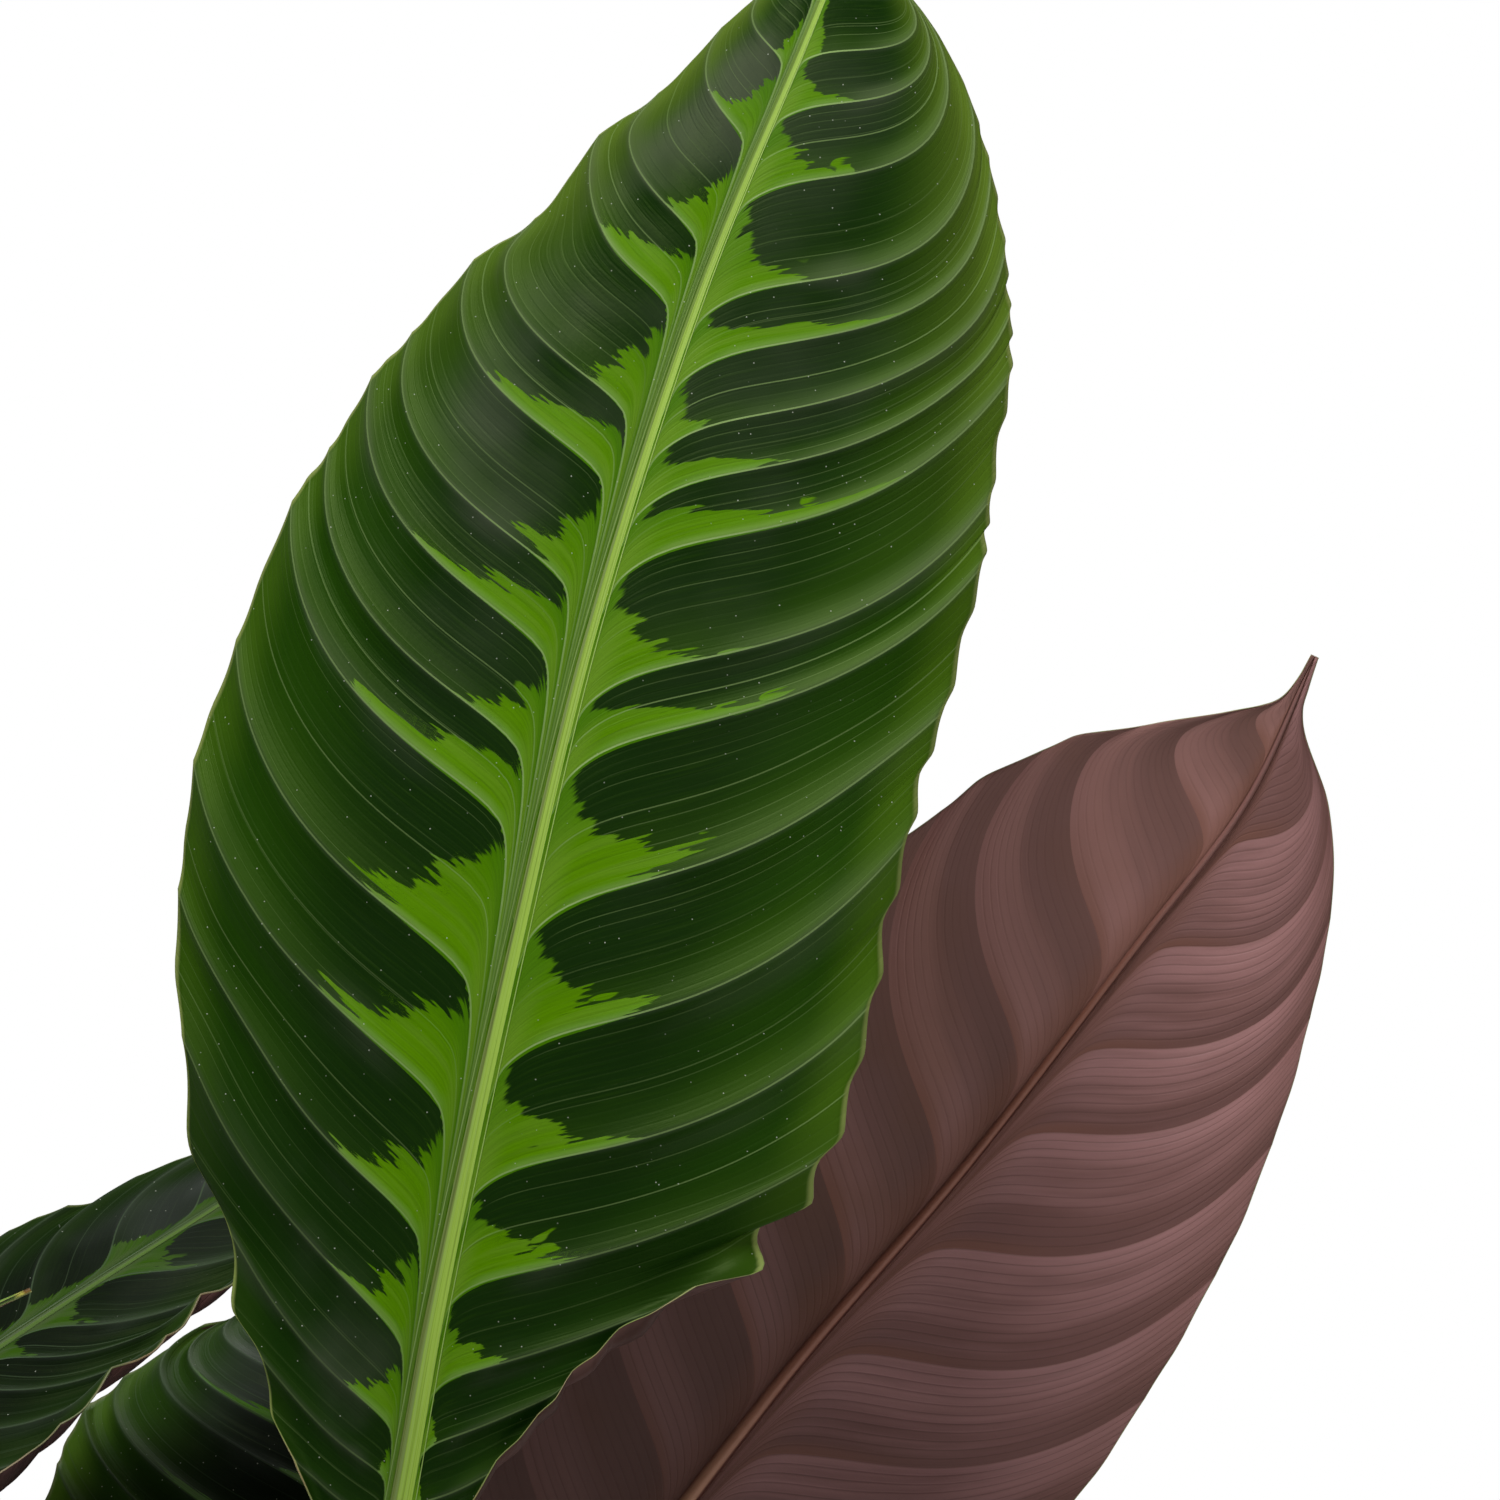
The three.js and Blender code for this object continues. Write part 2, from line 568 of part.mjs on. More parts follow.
// The plain hole that a stalk stands in, as the space that it takes from the soil
function stalkHole(leaf) {
  const shape = new LeafShape(leaf);
  const surface = new RingSurface();
  let previous = null;
  for (const length of [-CLEARANCE, STALK_CLEAR_LEVEL - STALK_FOOT_LEVEL]) {
    const ring = surface.addRing(shape.stalkRing(length, shape.stalkRadius(length) + CLEARANCE));
    if (previous) surface.join(previous, ring);
    else surface.closeStart(ring);
    previous = ring;
  }
  surface.closeEnd(previous);
  return surface.geometry();
}

// Booleans
const wasm = await Module();
wasm.setup();

function toSolid(geometry) {
  const bare = geometry.index ? geometry.toNonIndexed() : geometry.clone();
  bare.deleteAttribute('normal');
  bare.deleteAttribute('uv');
  const merged = mergeVertices(bare, 1e-3);
  return new wasm.Manifold(new wasm.Mesh({
    numProp: 3,
    vertProperties: merged.attributes.position.array,
    triVerts: new Uint32Array(merged.index.array),
  }));
}

function toGeometry(solid) {
  const { vertProperties, triVerts } = solid.getMesh();
  const made = new THREE.BufferGeometry();
  made.setAttribute('position', new THREE.BufferAttribute(new Float32Array(vertProperties), 3));
  made.setIndex(Array.from(triVerts));
  return made;
}

// A body turned round the upright axis from pairs of radius and height
function turned(profile, sides) {
  const points = profile.map(([radius, height]) => new THREE.Vector2(radius, height));
  return new THREE.LatheGeometry(points, sides).rotateX(Math.PI / 2);
}

const wallSlope = (POT_MOUTH_RADIUS - POT_FOOT_RADIUS) / POT_HEIGHT;
const outerRadius = (height) => POT_FOOT_RADIUS + wallSlope * height;

function potGeometry() {
  const rimFoot = POT_HEIGHT - RIM_HEIGHT;
  const rimRadius = outerRadius(POT_HEIGHT) + RIM_OVERHANG;
  const body = toSolid(turned([
    [0, 0],
    [POT_FOOT_RADIUS - FOOT_BEVEL, 0],
    [outerRadius(FOOT_BEVEL), FOOT_BEVEL],
    [outerRadius(rimFoot), rimFoot],
    [rimRadius - LIP_BEVEL, rimFoot],
    [rimRadius, rimFoot + LIP_BEVEL],
    [rimRadius, POT_HEIGHT - LIP_BEVEL],
    [rimRadius - LIP_BEVEL, POT_HEIGHT],
    [outerRadius(POT_HEIGHT) - POT_WALL, POT_HEIGHT],
    [outerRadius(POT_FLOOR) - POT_WALL, POT_FLOOR],
    [0, POT_FLOOR],
  ], POT_SIDES));
  let pot = body;
  for (let i = 0; i < DRAIN_HOLES; i += 1) {
    const angle = (2 * Math.PI * i) / DRAIN_HOLES;
    const hole = new THREE.CylinderGeometry(DRAIN_RADIUS, DRAIN_RADIUS, 4 * POT_FLOOR, DRAIN_SIDES);
    hole.rotateX(Math.PI / 2);
    hole.translate(DRAIN_CIRCLE * Math.cos(angle), DRAIN_CIRCLE * Math.sin(angle), 0);
    pot = pot.subtract(toSolid(hole));
  }
  return toGeometry(pot);
}

// Height of the soil's lumpy surface over its domed level
function soilLumps(x, y) {
  return SOIL_LUMPS * (Math.sin(x / 8.5 + 1) * Math.cos(y / 10.5) + 0.6 * Math.sin((x + y) / 6.1));
}

function soilGeometry() {
  const inner = (height) => outerRadius(height) - POT_WALL - CLEARANCE;
  const bottom = POT_FLOOR + CLEARANCE;
  const profile = [[0, bottom], [inner(bottom), bottom], [inner(SOIL_LEVEL), SOIL_LEVEL]];
  for (let i = 1; i <= SOIL_RINGS; i += 1) {
    const share = 1 - i / SOIL_RINGS;
    profile.push([inner(SOIL_LEVEL) * share, SOIL_LEVEL + SOIL_DOME * (1 - share * share)]);
  }
  const body = turned(profile, POT_SIDES);
  const places = body.getAttribute('position');
  for (let i = 0; i < places.count; i += 1) {
    const [x, y, z] = [places.getX(i), places.getY(i), places.getZ(i)];
    if (z > SOIL_LEVEL + 0.1) places.setZ(i, z + soilLumps(x, y));
  }
  let soil = toSolid(body);
  for (const leaf of Object.values(LEAVES)) soil = soil.subtract(toSolid(stalkHole(leaf)));
  return toGeometry(soil);
}

// Colours and finishes
const potFinish = { color: 0x2b2b2c, roughness: 0.62, metalness: 0 };
const soilFinish = { color: 0x2e2018, roughness: 0.95, metalness: 0 };
const leafFinish = { color: 0x24501c, roughness: 0.5, metalness: 0 };

function named(name, geometry, finish) {
  const mesh = new THREE.Mesh(geometry, new THREE.MeshStandardMaterial(finish));
  mesh.name = name;
  return mesh;
}

const plant = new THREE.Group();
plant.add(named('pot', potGeometry(), potFinish));
plant.add(named('soil', soilGeometry(), soilFinish));
for (const [name, leaf] of Object.entries(LEAVES)) plant.add(named(name, leafGeometry(leaf), leafFinish));

export default plant;
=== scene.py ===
"""Looks of a potted calathea warscewiczii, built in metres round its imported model.

Sizes and places of the leaves are written in millimetres, as on the plant, and turned into metres once.
"""
import math

import bpy
import numpy as np
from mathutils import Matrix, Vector


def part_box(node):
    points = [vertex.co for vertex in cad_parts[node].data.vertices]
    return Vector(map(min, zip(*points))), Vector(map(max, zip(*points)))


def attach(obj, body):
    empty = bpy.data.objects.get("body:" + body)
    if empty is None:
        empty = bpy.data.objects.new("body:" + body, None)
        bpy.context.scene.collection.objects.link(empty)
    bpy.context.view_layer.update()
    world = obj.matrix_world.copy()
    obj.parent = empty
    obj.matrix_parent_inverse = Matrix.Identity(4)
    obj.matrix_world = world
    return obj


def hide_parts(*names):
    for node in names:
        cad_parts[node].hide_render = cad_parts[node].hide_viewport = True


MM = 0.001

# Size of the pot and the soil, in millimetres
POT_FOOT_RADIUS = 76
POT_MOUTH_RADIUS = 102
POT_WALL = 2.6
POT_FLOOR = 4
RIM_HEIGHT = 26
RIM_OVERHANG = 5
DRAIN_HOLES = 6
DRAIN_RADIUS = 5
DRAIN_CIRCLE = 52
SOIL_LEVEL = 170
SOIL_DOME = 5
SOIL_CLEARANCE = 0.3

# Size of what all leaves share, in millimetres
BLADE_THICKNESS = 0.8
MARGIN_THICKNESS = 0.5
STALK_FOOT_LEVEL = 148
STALK_CLEAR_LEVEL = 184
STALK_FOOT_RADIUS = 4.4
SWELLING_LENGTH = 24
SWELLING = 0.7
RIB_LIP = 0.1
RIB_BLEND = 14
RIB_SEAM_THICKNESS = 0.3
FINE_VEIN_PITCH = 3.0

# The rib's radius at the tip, as a share of that at the base, and its width and the depth of its groove above
# the blade, as shares of its radius there
RIB_TIP_SHARE = 0.2
RIB_BAND = 1.35
RIB_GROOVE = 0.3

# Over how much of its length the blade runs out to its point, and from what share of the half's width the
# margin rolls
POINT_SHARE = 0.03
ROLL_START = 0.8

# How the light green shrinks from one side vein to the next: its least reach, as a share of the half's width,
# and how steeply it falls to that
LEAST_REACH = {"_left": 0.06, "_right": 0.035}
REACH_FALL = {"_left": 1.6, "_right": 2.4}

# Relief of the blade by shares of the half's width: where a pleat is at its full depth and how much of it the
# margin loses, and where the second pleats start, over what share they deepen and how much the margin loses
PLEAT_FULL = 0.55
PLEAT_LOSS = 0.25
SECOND_START = 0.1
SECOND_RISE = 0.3
SECOND_LOSS = 0.6

# Kinds of face on a leaf, in the order of its materials
UPPER, UNDER, MARGIN, RIB, STALK = range(5)

# The camera stands square to the front and looks along +Y
CAMERA_PLACE = (177.5, -2620, 632.5)
CAMERA_HALF_FRAME = 187.5
CAMERA_FRAME_DISTANCE = 2600

PLAIN_OUTLINE = [
    (0, 0.06), (0.03, 0.3), (0.1, 0.62), (0.2, 0.87), (0.32, 0.98), (0.45, 1), (0.6, 0.93),
    (0.75, 0.74), (0.87, 0.43), (0.925, 0.18), (0.955, 0.045), (1, 0.03),
]
PLAIN_SWEEP = [
    (0, 0), (0.1, 0.11), (0.25, 0.19), (0.5, 0.2), (0.65, 0.185), (0.8, 0.14), (0.9, 0.075), (1, 0),
]


def both(**values):
    """The same values for the left half and the right half of a blade."""
    return {name + tail: value for name, value in values.items() for tail in ("_left", "_right")}


# Each table runs along the blade, from 0 at its base to 1 at its tip. left and right are the widths of both
# halves in millimetres. sweep is how far a side vein runs on towards the tip. fold and droop are the slopes
# in degrees at the midrib and at the margin, and roll is how far the margin curls over the upper side. pleat
# is the depth between two side veins, second the share of it that the second pleats have, ruffle the wave of
# the margin, scallop the size of its lobes and lobes their number to an interval. rib_run is how far a side
# vein runs along the midrib before it leaves it, and how soon. rows is the number of mesh rows from one side
# vein to the next, and columns are those beside the midrib, on the way out and at the margin.
PLAIN_BLADE = {
    **both(
        sweep=PLAIN_SWEEP,
        fold=[(0, 28), (0.2, 14), (1, 8)],
        droop=[(0, 5), (0.2, -18), (1, -30)],
        roll=[(0, 0), (1, 0)],
        scallop=[(0, 0.025), (1, 0.025)],
        lobes=1,
    ),
    "rib_radius": 2.2,
    "pleat": [(0, 0.3), (0.15, 1.4), (0.5, 2), (0.8, 1.4), (0.93, 0.5), (1, 0)],
    "second": 0.22,
    "ruffle": [(0, 0), (0.2, 1.5), (0.8, 1), (1, 0)],
    "rib_run_left": (0.12, 0.018),
    "rib_run_right": (0.02, 0.01),
    "look": "plain",
    "rows": 12,
    "columns": (9, 12, 8),
}


def plain_veins(count, phase):
    """Where the side veins of an ordinary blade leave its midrib: evenly but for a small sway."""
    veins = []
    for i in range(count + 1):
        t = i / count
        sway = 0.16 * math.sin(2.4 * i + phase) * math.sin(math.pi * t)
        veins.append(max(t + sway / count, 0) ** 1.08)
    return veins


def plain_reach(count, phase):
    """How far the light green runs out along each side vein, as a share of the blade's half."""
    return [0.42 + 0.14 * math.sin(2.1 * i + phase) for i in range(count + 1)]


def plain_leaf(half_width, veins, phase, **rest):
    """An ordinary leaf, from its widest half-width and its number of side veins."""
    outline = [(along, share * half_width) for along, share in PLAIN_OUTLINE]
    return {
        **PLAIN_BLADE,
        "left": outline,
        "right": outline,
        "veins_left": plain_veins(veins, phase),
        "veins_right": plain_veins(veins, phase + 1.9),
        "reach_left": plain_reach(veins, phase),
        "reach_right": plain_reach(veins, phase + 2.6),
        "phase": phase,
        **rest,
    }


# The leaves. foot is where the stalk stands in the soil, stalk and midrib are points on the middle line up to
# the blade and on to the tip, and face is the way the upper side looks at the base, middle and tip. veins are
# where the side veins leave the midrib, and reach is how far the light green runs out along each of them.
LEAVES = {}
LEAVES["leaf_tall"] = dict(
    PLAIN_BLADE,
    foot=(8, 6),
    stalk=[(16, 2, 225), (42, -10, 300), (70, -24, 372)],
    midrib=[
        (86, -32, 424), (100, -40, 496), (118.5, -38, 581), (138, -24, 662.5), (165, 0, 747.5),
        (191, 24, 811.5), (203, 42, 842),
    ],
    face=[(-0.1, -1, 0.1), (0, -1, 0.05), (0.12, -1, 0.45)],
    rib_radius=3,
    left=[
        (0, 3), (0.02, 13), (0.05, 25), (0.1, 38), (0.16, 55), (0.22, 72), (0.28, 80), (0.35, 92),
        (0.45, 94), (0.55, 90), (0.65, 79), (0.7, 70.5), (0.745, 61), (0.775, 50.5), (0.83, 43),
        (0.865, 33), (0.92, 23), (0.965, 13), (0.985, 6), (1, 1),
    ],
    right=[
        (0, 3), (0.02, 9), (0.05, 18), (0.1, 30), (0.16, 52), (0.22, 73), (0.28, 87), (0.38, 92), (0.5, 91),
        (0.6, 93), (0.7, 88), (0.8, 79), (0.88, 61), (0.94, 40), (0.975, 21), (0.988, 5), (1, 1),
    ],
    veins_left=[
        0, 0.03, 0.054, 0.078, 0.118, 0.177, 0.248, 0.321, 0.411, 0.453, 0.51, 0.552, 0.619, 0.66, 0.729,
        0.771, 0.839, 0.895, 0.945, 1,
    ],
    veins_right=[
        0, 0.045, 0.075, 0.109, 0.16, 0.221, 0.291, 0.368, 0.456, 0.497, 0.573, 0.613, 0.648, 0.693, 0.734,
        0.808, 0.864, 0.905, 0.952, 1,
    ],
    reach_left=[
        0.1, 0.15, 0.2, 0.37, 0.38, 0.36, 0.55, 0.44, 0.54, 0.24, 0.6, 0.27, 0.58, 0.29, 0.6, 0.29, 0.5,
        0.22, 0.15, 0.1,
    ],
    reach_right=[
        0.15, 0.15, 0.2, 0.4, 0.5, 0.38, 0.47, 0.45, 0.6, 0.3, 0.74, 0.38, 0.13, 0.53, 0.28, 0.36, 0.27,
        0.12, 0.1, 0.1,
    ],
    sweep_left=[
        (0, 0), (0.06, 0.07), (0.12, 0.16), (0.25, 0.185), (0.45, 0.165), (0.65, 0.115), (0.85, 0.075),
        (1, 0),
    ],
    sweep_right=[
        (0, 0), (0.11, 0.095), (0.24, 0.165), (0.32, 0.19), (0.7, 0.2), (0.82, 0.155), (0.92, 0.07), (1, 0),
    ],
    **both(fold=[(0, 30), (0.2, 12), (1, 8)]),
    droop_left=[(0, 0), (0.2, -25), (0.6, -35), (1, -50)],
    droop_right=[(0, 0), (0.2, -15), (0.6, -20), (1, -20)],
    roll_left=[(0, 0), (0.03, 60), (0.05, 110), (0.07, 60), (0.1, 0), (1, 0)],
    roll_right=[(0, 0), (0.03, 50), (0.06, 130), (0.12, 160), (0.18, 160), (0.21, 80), (0.235, 0), (1, 0)],
    pleat=[(0, 0.5), (0.1, 1.5), (0.3, 3), (0.6, 2.2), (0.8, 1.6), (1, 0)],
    ruffle=[(0, 0), (0.12, 2), (0.25, 3), (0.4, 1.5), (1, 0)],
    scallop_left=[(0, 0.04), (0.08, 0.13), (0.2, 0.11), (0.3, 0.03), (0.6, 0.02), (1, 0.03)],
    scallop_right=[
        (0, 0.04), (0.12, 0.1), (0.25, 0.11), (0.31, 0.03), (0.4, 0.035), (0.6, 0.02), (1, 0.02),
    ],
    lobes_right=2,
    phase=0.6,
    rib_run_left=(0.28, 0.0184),
    rib_run_right=(0.012, 0.006),
    look="tall",
    rows=24,
    columns=(14, 21, 10),
)
LEAVES["leaf_reverse"] = dict(
    PLAIN_BLADE,
    foot=(20, 14),
    stalk=[(27, 21, 220), (52, 34, 262)],
    midrib=[
        (93, 46, 309.5), (128.5, 54, 391), (182, 58, 465.5), (234, 58, 526.5), (278, 54, 583.5),
        (305, 48, 619.5), (322, 40, 656.5),
    ],
    face=[(-0.1, 1, 0.1), (0, 1, 0), (0.1, 1, 0.2)],
    rib_radius=3,
    left=[
        (0, 3), (0.02, 14), (0.06, 30), (0.12, 46), (0.2, 62), (0.3, 75), (0.4, 79.5), (0.5, 78.5),
        (0.6, 73.5), (0.7, 64.5), (0.8, 51), (0.87, 36), (0.92, 20), (0.95, 7), (0.965, 3), (0.98, 2),
        (1, 1),
    ],
    right=[
        (0, 3), (0.02, 14), (0.06, 30), (0.12, 46), (0.2, 62), (0.3, 74), (0.4, 81.5), (0.5, 83.5),
        (0.6, 80.5), (0.7, 72.5), (0.8, 61), (0.87, 48), (0.92, 31), (0.95, 14), (0.965, 5), (0.98, 2),
        (1, 1),
    ],
    veins_left=[0, 0.04, 0.09, 0.15, 0.22, 0.3, 0.38, 0.46, 0.545, 0.635, 0.7, 0.78, 0.865, 1],
    veins_right=[0, 0.04, 0.09, 0.16, 0.24, 0.33, 0.42, 0.505, 0.59, 0.67, 0.755, 0.857, 0.93, 1],
    reach_left=plain_reach(13, 0.4),
    reach_right=plain_reach(13, 2.9),
    **both(fold=[(0, 25), (0.2, 8), (1, 4)], droop=[(0, 0), (0.2, -20), (1, -20)]),
    pleat=[(0, 0.4), (0.15, 1.3), (0.5, 1.7), (0.8, 1.4), (0.93, 0.5), (1, 0)],
    second=0.5,
    ruffle=[(0, 0), (0.2, 1), (0.8, 0.6), (1, 0)],
    scallop_left=[(0, 0.012), (1, 0.012)],
    scallop_right=[(0, 0.012), (0.6, 0.015), (0.8, 0.035), (1, 0.035)],
    phase=1.6,
    look="tall",
    rows=30,
    columns=(12, 21, 10),
)
LEAVES["leaf_left"] = plain_leaf(
    55, 14, 1.6,
    foot=(-34, 30),
    stalk=[(-44, 34, 220), (-74, 44, 290), (-108, 53, 352)],
    midrib=[
        (-124, 62, 392.5), (-81.5, 74, 431.5), (-18, 92, 477), (37.5, 112, 512.5), (69, 126, 532),
        (98, 138, 546),
    ],
    face=[(-0.35, -0.62, 0.7), (-0.35, -0.62, 0.7), (-0.35, -0.55, 0.72)],
    left=[
        (0, 3), (0.03, 15), (0.1, 32), (0.2, 43), (0.32, 47), (0.45, 46), (0.6, 38), (0.75, 27), (0.87, 16),
        (0.93, 8), (0.965, 3.5), (1, 1),
    ],
    right=[
        (0, 3), (0.03, 15), (0.1, 34), (0.2, 49), (0.32, 54), (0.45, 45), (0.6, 34), (0.75, 28), (0.87, 19),
        (0.93, 10), (0.965, 4), (1, 1),
    ],
    veins_left=[0, 0.04, 0.09, 0.14, 0.2, 0.26, 0.32, 0.38, 0.44, 0.51, 0.6, 0.7, 0.8, 0.9, 1],
    veins_right=[0, 0.05, 0.1, 0.16, 0.22, 0.285, 0.35, 0.41, 0.46, 0.51, 0.6, 0.7, 0.8, 0.9, 1],
    reach_left=[0.2, 0.12] * 7 + [0.12],
    reach_right=[0.32, 0.24] * 4 + [0.36, 0.26, 0.44] + [0.28] * 4,
    fold_left=[(0, 25), (0.2, 15), (1, 10)],
    fold_right=[(0, 25), (0.2, 8), (1, 8)],
    droop_left=[(0, 0), (0.2, -8), (1, -12)],
    droop_right=[(0, 0), (0.2, -15), (1, -20)],
    roll_right=[
        (0, 0), (0.08, 60), (0.2, 100), (0.35, 70), (0.45, 95), (0.6, 60), (0.8, 90), (0.92, 0), (1, 0),
    ],
    look="shade",
    rows=22,
    columns=(10, 18, 12),
)
LEAVES["leaf_behind"] = plain_leaf(
    84, 14, 0.9,
    foot=(12, 34),
    stalk=[(17, 41, 220), (32, 56, 250)],
    midrib=[
        (64.5, 82, 276.5), (70, 92, 325), (75, 112, 370), (78.5, 145, 420), (80, 190, 465), (79, 240, 495),
    ],
    face=[(0.3, -0.9, 0.3), (0.2, -0.75, 0.6), (0.1, -0.5, 0.85)],
    left=[
        (0, 3), (0.03, 18), (0.1, 40), (0.2, 63), (0.32, 79), (0.45, 88), (0.6, 92), (0.75, 81), (0.87, 54),
        (0.93, 26), (0.965, 6), (1, 1),
    ],
    right=[
        (0, 3), (0.03, 18), (0.1, 36), (0.2, 50), (0.32, 60), (0.45, 64), (0.6, 60), (0.75, 50), (0.87, 32),
        (0.93, 18), (0.965, 6), (1, 1),
    ],
    reach_left=[0.35] * 7 + [0.7, 0.35, 0.7, 0.35] + [0.3] * 4,
    sweep_left=[
        (0, 0), (0.1, 0.16), (0.25, 0.3), (0.5, 0.33), (0.65, 0.28), (0.8, 0.17), (0.9, 0.085), (1, 0),
    ],
    **both(fold=[(0, 25), (0.2, 12), (1, 8)]),
    droop_right=[(0, 0), (0.2, -30), (1, -40)],
    pleat=[(0, 0.4), (0.15, 2), (0.5, 4), (0.8, 3), (0.93, 0.5), (1, 0)],
    look="dusk",
    rows=22,
    columns=(10, 18, 10),
)
LEAVES["leaf_left_tip"] = plain_leaf(
    38, 10, 0.3,
    foot=(-34, -8),
    stalk=[(-46, -12, 222), (-96, -30, 282)],
    midrib=[(-122, -34, 326), (-112, -26, 390), (-76, -10, 446), (-38, 2, 480), (-4.5, 10, 496)],
    face=[(0.7, -0.5, 0.4), (0.1, -0.5, 0.9), (-0.4, -0.3, 0.9)],
)
LEAVES["leaf_left_front"] = plain_leaf(
    62, 11, 2.2,
    foot=(-20, -24),
    stalk=[(-26, -34, 225), (-54, -72, 300)],
    midrib=[(-76, -94, 348), (-118, -122, 430), (-160, -140, 512), (-198, -146, 590), (-226, -140, 662)],
    face=[(0.6, 0.3, 0.6), (0.55, 0.4, 0.7), (0.5, 0.4, 0.8)],
)
LEAVES["leaf_left_back"] = plain_leaf(
    66, 12, 4.1,
    foot=(-16, 50),
    stalk=[(-22, 66, 235), (-54, 116, 330)],
    midrib=[(-78, 146, 380), (-122, 192, 470), (-160, 226, 560), (-196, 246, 640), (-226, 250, 694)],
    face=[(0.4, -0.7, 0.4), (0.45, -0.6, 0.6), (0.5, -0.4, 0.75)],
)
LEAVES["leaf_right_back"] = plain_leaf(
    56, 10, 5.2,
    foot=(30, 42),
    stalk=[(44, 70, 238), (82, 128, 312)],
    midrib=[(104, 160, 342), (146, 216, 382), (184, 268, 396), (214, 312, 382), (236, 344, 350)],
    face=[(-0.3, -0.5, 0.8), (0, 0, 1), (0.4, 0.5, 0.8)],
)
LEAVES["leaf_right_front"] = plain_leaf(
    52, 10, 3.3,
    foot=(30, -8),
    stalk=[(40, -18, 222), (84, -56, 286)],
    midrib=[(108, -76, 312), (156, -112, 346), (206, -144, 358), (250, -166, 344), (286, -178, 312)],
    face=[(-0.5, 0.4, 0.8), (0, 0, 1), (0.5, -0.3, 0.8)],
)
LEAVES["leaf_front"] = plain_leaf(
    50, 10, 1.1,
    foot=(2, -30),
    stalk=[(2, -46, 224), (-8, -102, 286)],
    midrib=[(-14, -128, 308), (-30, -180, 336), (-46, -234, 340), (-60, -282, 318), (-70, -320, 278)],
    face=[(0.1, 0.6, 0.8), (0, 0, 1), (-0.1, -0.6, 0.8)],
)
LEAVES["leaf_left_low"] = plain_leaf(
    48, 10, 2.8,
    foot=(-46, 10),
    stalk=[(-60, 12, 222), (-114, 22, 274)],
    midrib=[(-142, 28, 294), (-192, 38, 322), (-242, 46, 326), (-286, 50, 302), (-320, 50, 262)],
    face=[(0.6, 0.1, 0.8), (0, 0, 1), (-0.6, 0, 0.8)],
)
LEAVES["leaf_back"] = plain_leaf(
    50, 10, 0.2,
    foot=(0, 66),
    stalk=[(2, 82, 222), (6, 132, 282)],
    midrib=[(8, 158, 304), (16, 212, 334), (26, 266, 340), (34, 314, 318), (38, 352, 280)],
    face=[(0, -0.6, 0.8), (0, 0, 1), (0, 0.6, 0.8)],
)


def table_at(table, x):
    """Smooth curve through a table's points (x, y), whose slope at each is that between its neighbours."""
    xs, ys = np.array(table, float).T
    last = len(xs) - 1
    after = np.minimum(np.arange(last + 1) + 1, last)
    before = np.maximum(np.arange(last + 1) - 1, 0)
    slopes = (ys[after] - ys[before]) / (xs[after] - xs[before])
    x = np.clip(np.asarray(x, float), xs[0], xs[-1])
    i = np.clip(np.searchsorted(xs, x, side="right") - 1, 0, last - 1)
    h = xs[i + 1] - xs[i]
    t = (x - xs[i]) / h
    return (
        (1 + 2 * t) * (1 - t) ** 2 * ys[i] + t * (1 - t) ** 2 * h * slopes[i]
        + t * t * (3 - 2 * t) * ys[i + 1] + t * t * (t - 1) * h * slopes[i + 1]
    )


def ease(x):
    x = np.clip(x, 0, 1)
    return x * x * (3 - 2 * x)


def unit(vectors):
    return vectors / np.linalg.norm(vectors, axis=-1, keepdims=True)


def smooth_path(points, per_segment):
    """Smooth curve through points, without loops where they lie close together."""
    points = [np.array(p, float) for p in points]
    points = [2 * points[0] - points[1]] + points + [2 * points[-1] - points[-2]]
    pieces = []
    t = (np.arange(per_segment) / per_segment)[:, None]
    for a, b, c, d in zip(points, points[1:], points[2:], points[3:]):
        ab, bc, cd = (np.linalg.norm(q - p) ** 0.5 for p, q in ((a, b), (b, c), (c, d)))
        start = ((b - a) / ab - (c - a) / (ab + bc) + (c - b) / bc) * bc
        end = ((c - b) / bc - (d - b) / (bc + cd) + (d - c) / cd) * bc
        pieces.append(
            b * (2 * t**3 - 3 * t**2 + 1) + start * (t**3 - 2 * t**2 + t)
            + c * (3 * t**2 - 2 * t**3) + end * (t**3 - t**2)
        )
    return np.vstack(pieces + [points[-2][None, :]])


def vein_bend(p):
    """How far a side vein has run towards the tip, as a share of its sweep, at shares of the half's width."""
    along_midrib = 0.11 * (1 - np.exp(-p / 0.07))
    straight_out = 0.45 * p
    along_margin = 0.44 * np.maximum(p, 0) ** 3.5
    return along_midrib + straight_out + along_margin


def lobe(row):
    """How far the margin stands out: not at whole rows, and most at a rounded corner between them."""
    corner = 0.4
    share = row - np.floor(row)
    rising = (share / corner) ** 1.5
    falling = ((1 - share) / (1 - corner)) ** 1.4
    out = np.where(share < corner, rising, falling)
    rounding = 0.2
    return out - rounding * out**5


def tail_of(side):
    """How the names of a half's own tables end. The left half is side -1 and the right half is side 1."""
    return "_right" if side > 0 else "_left"


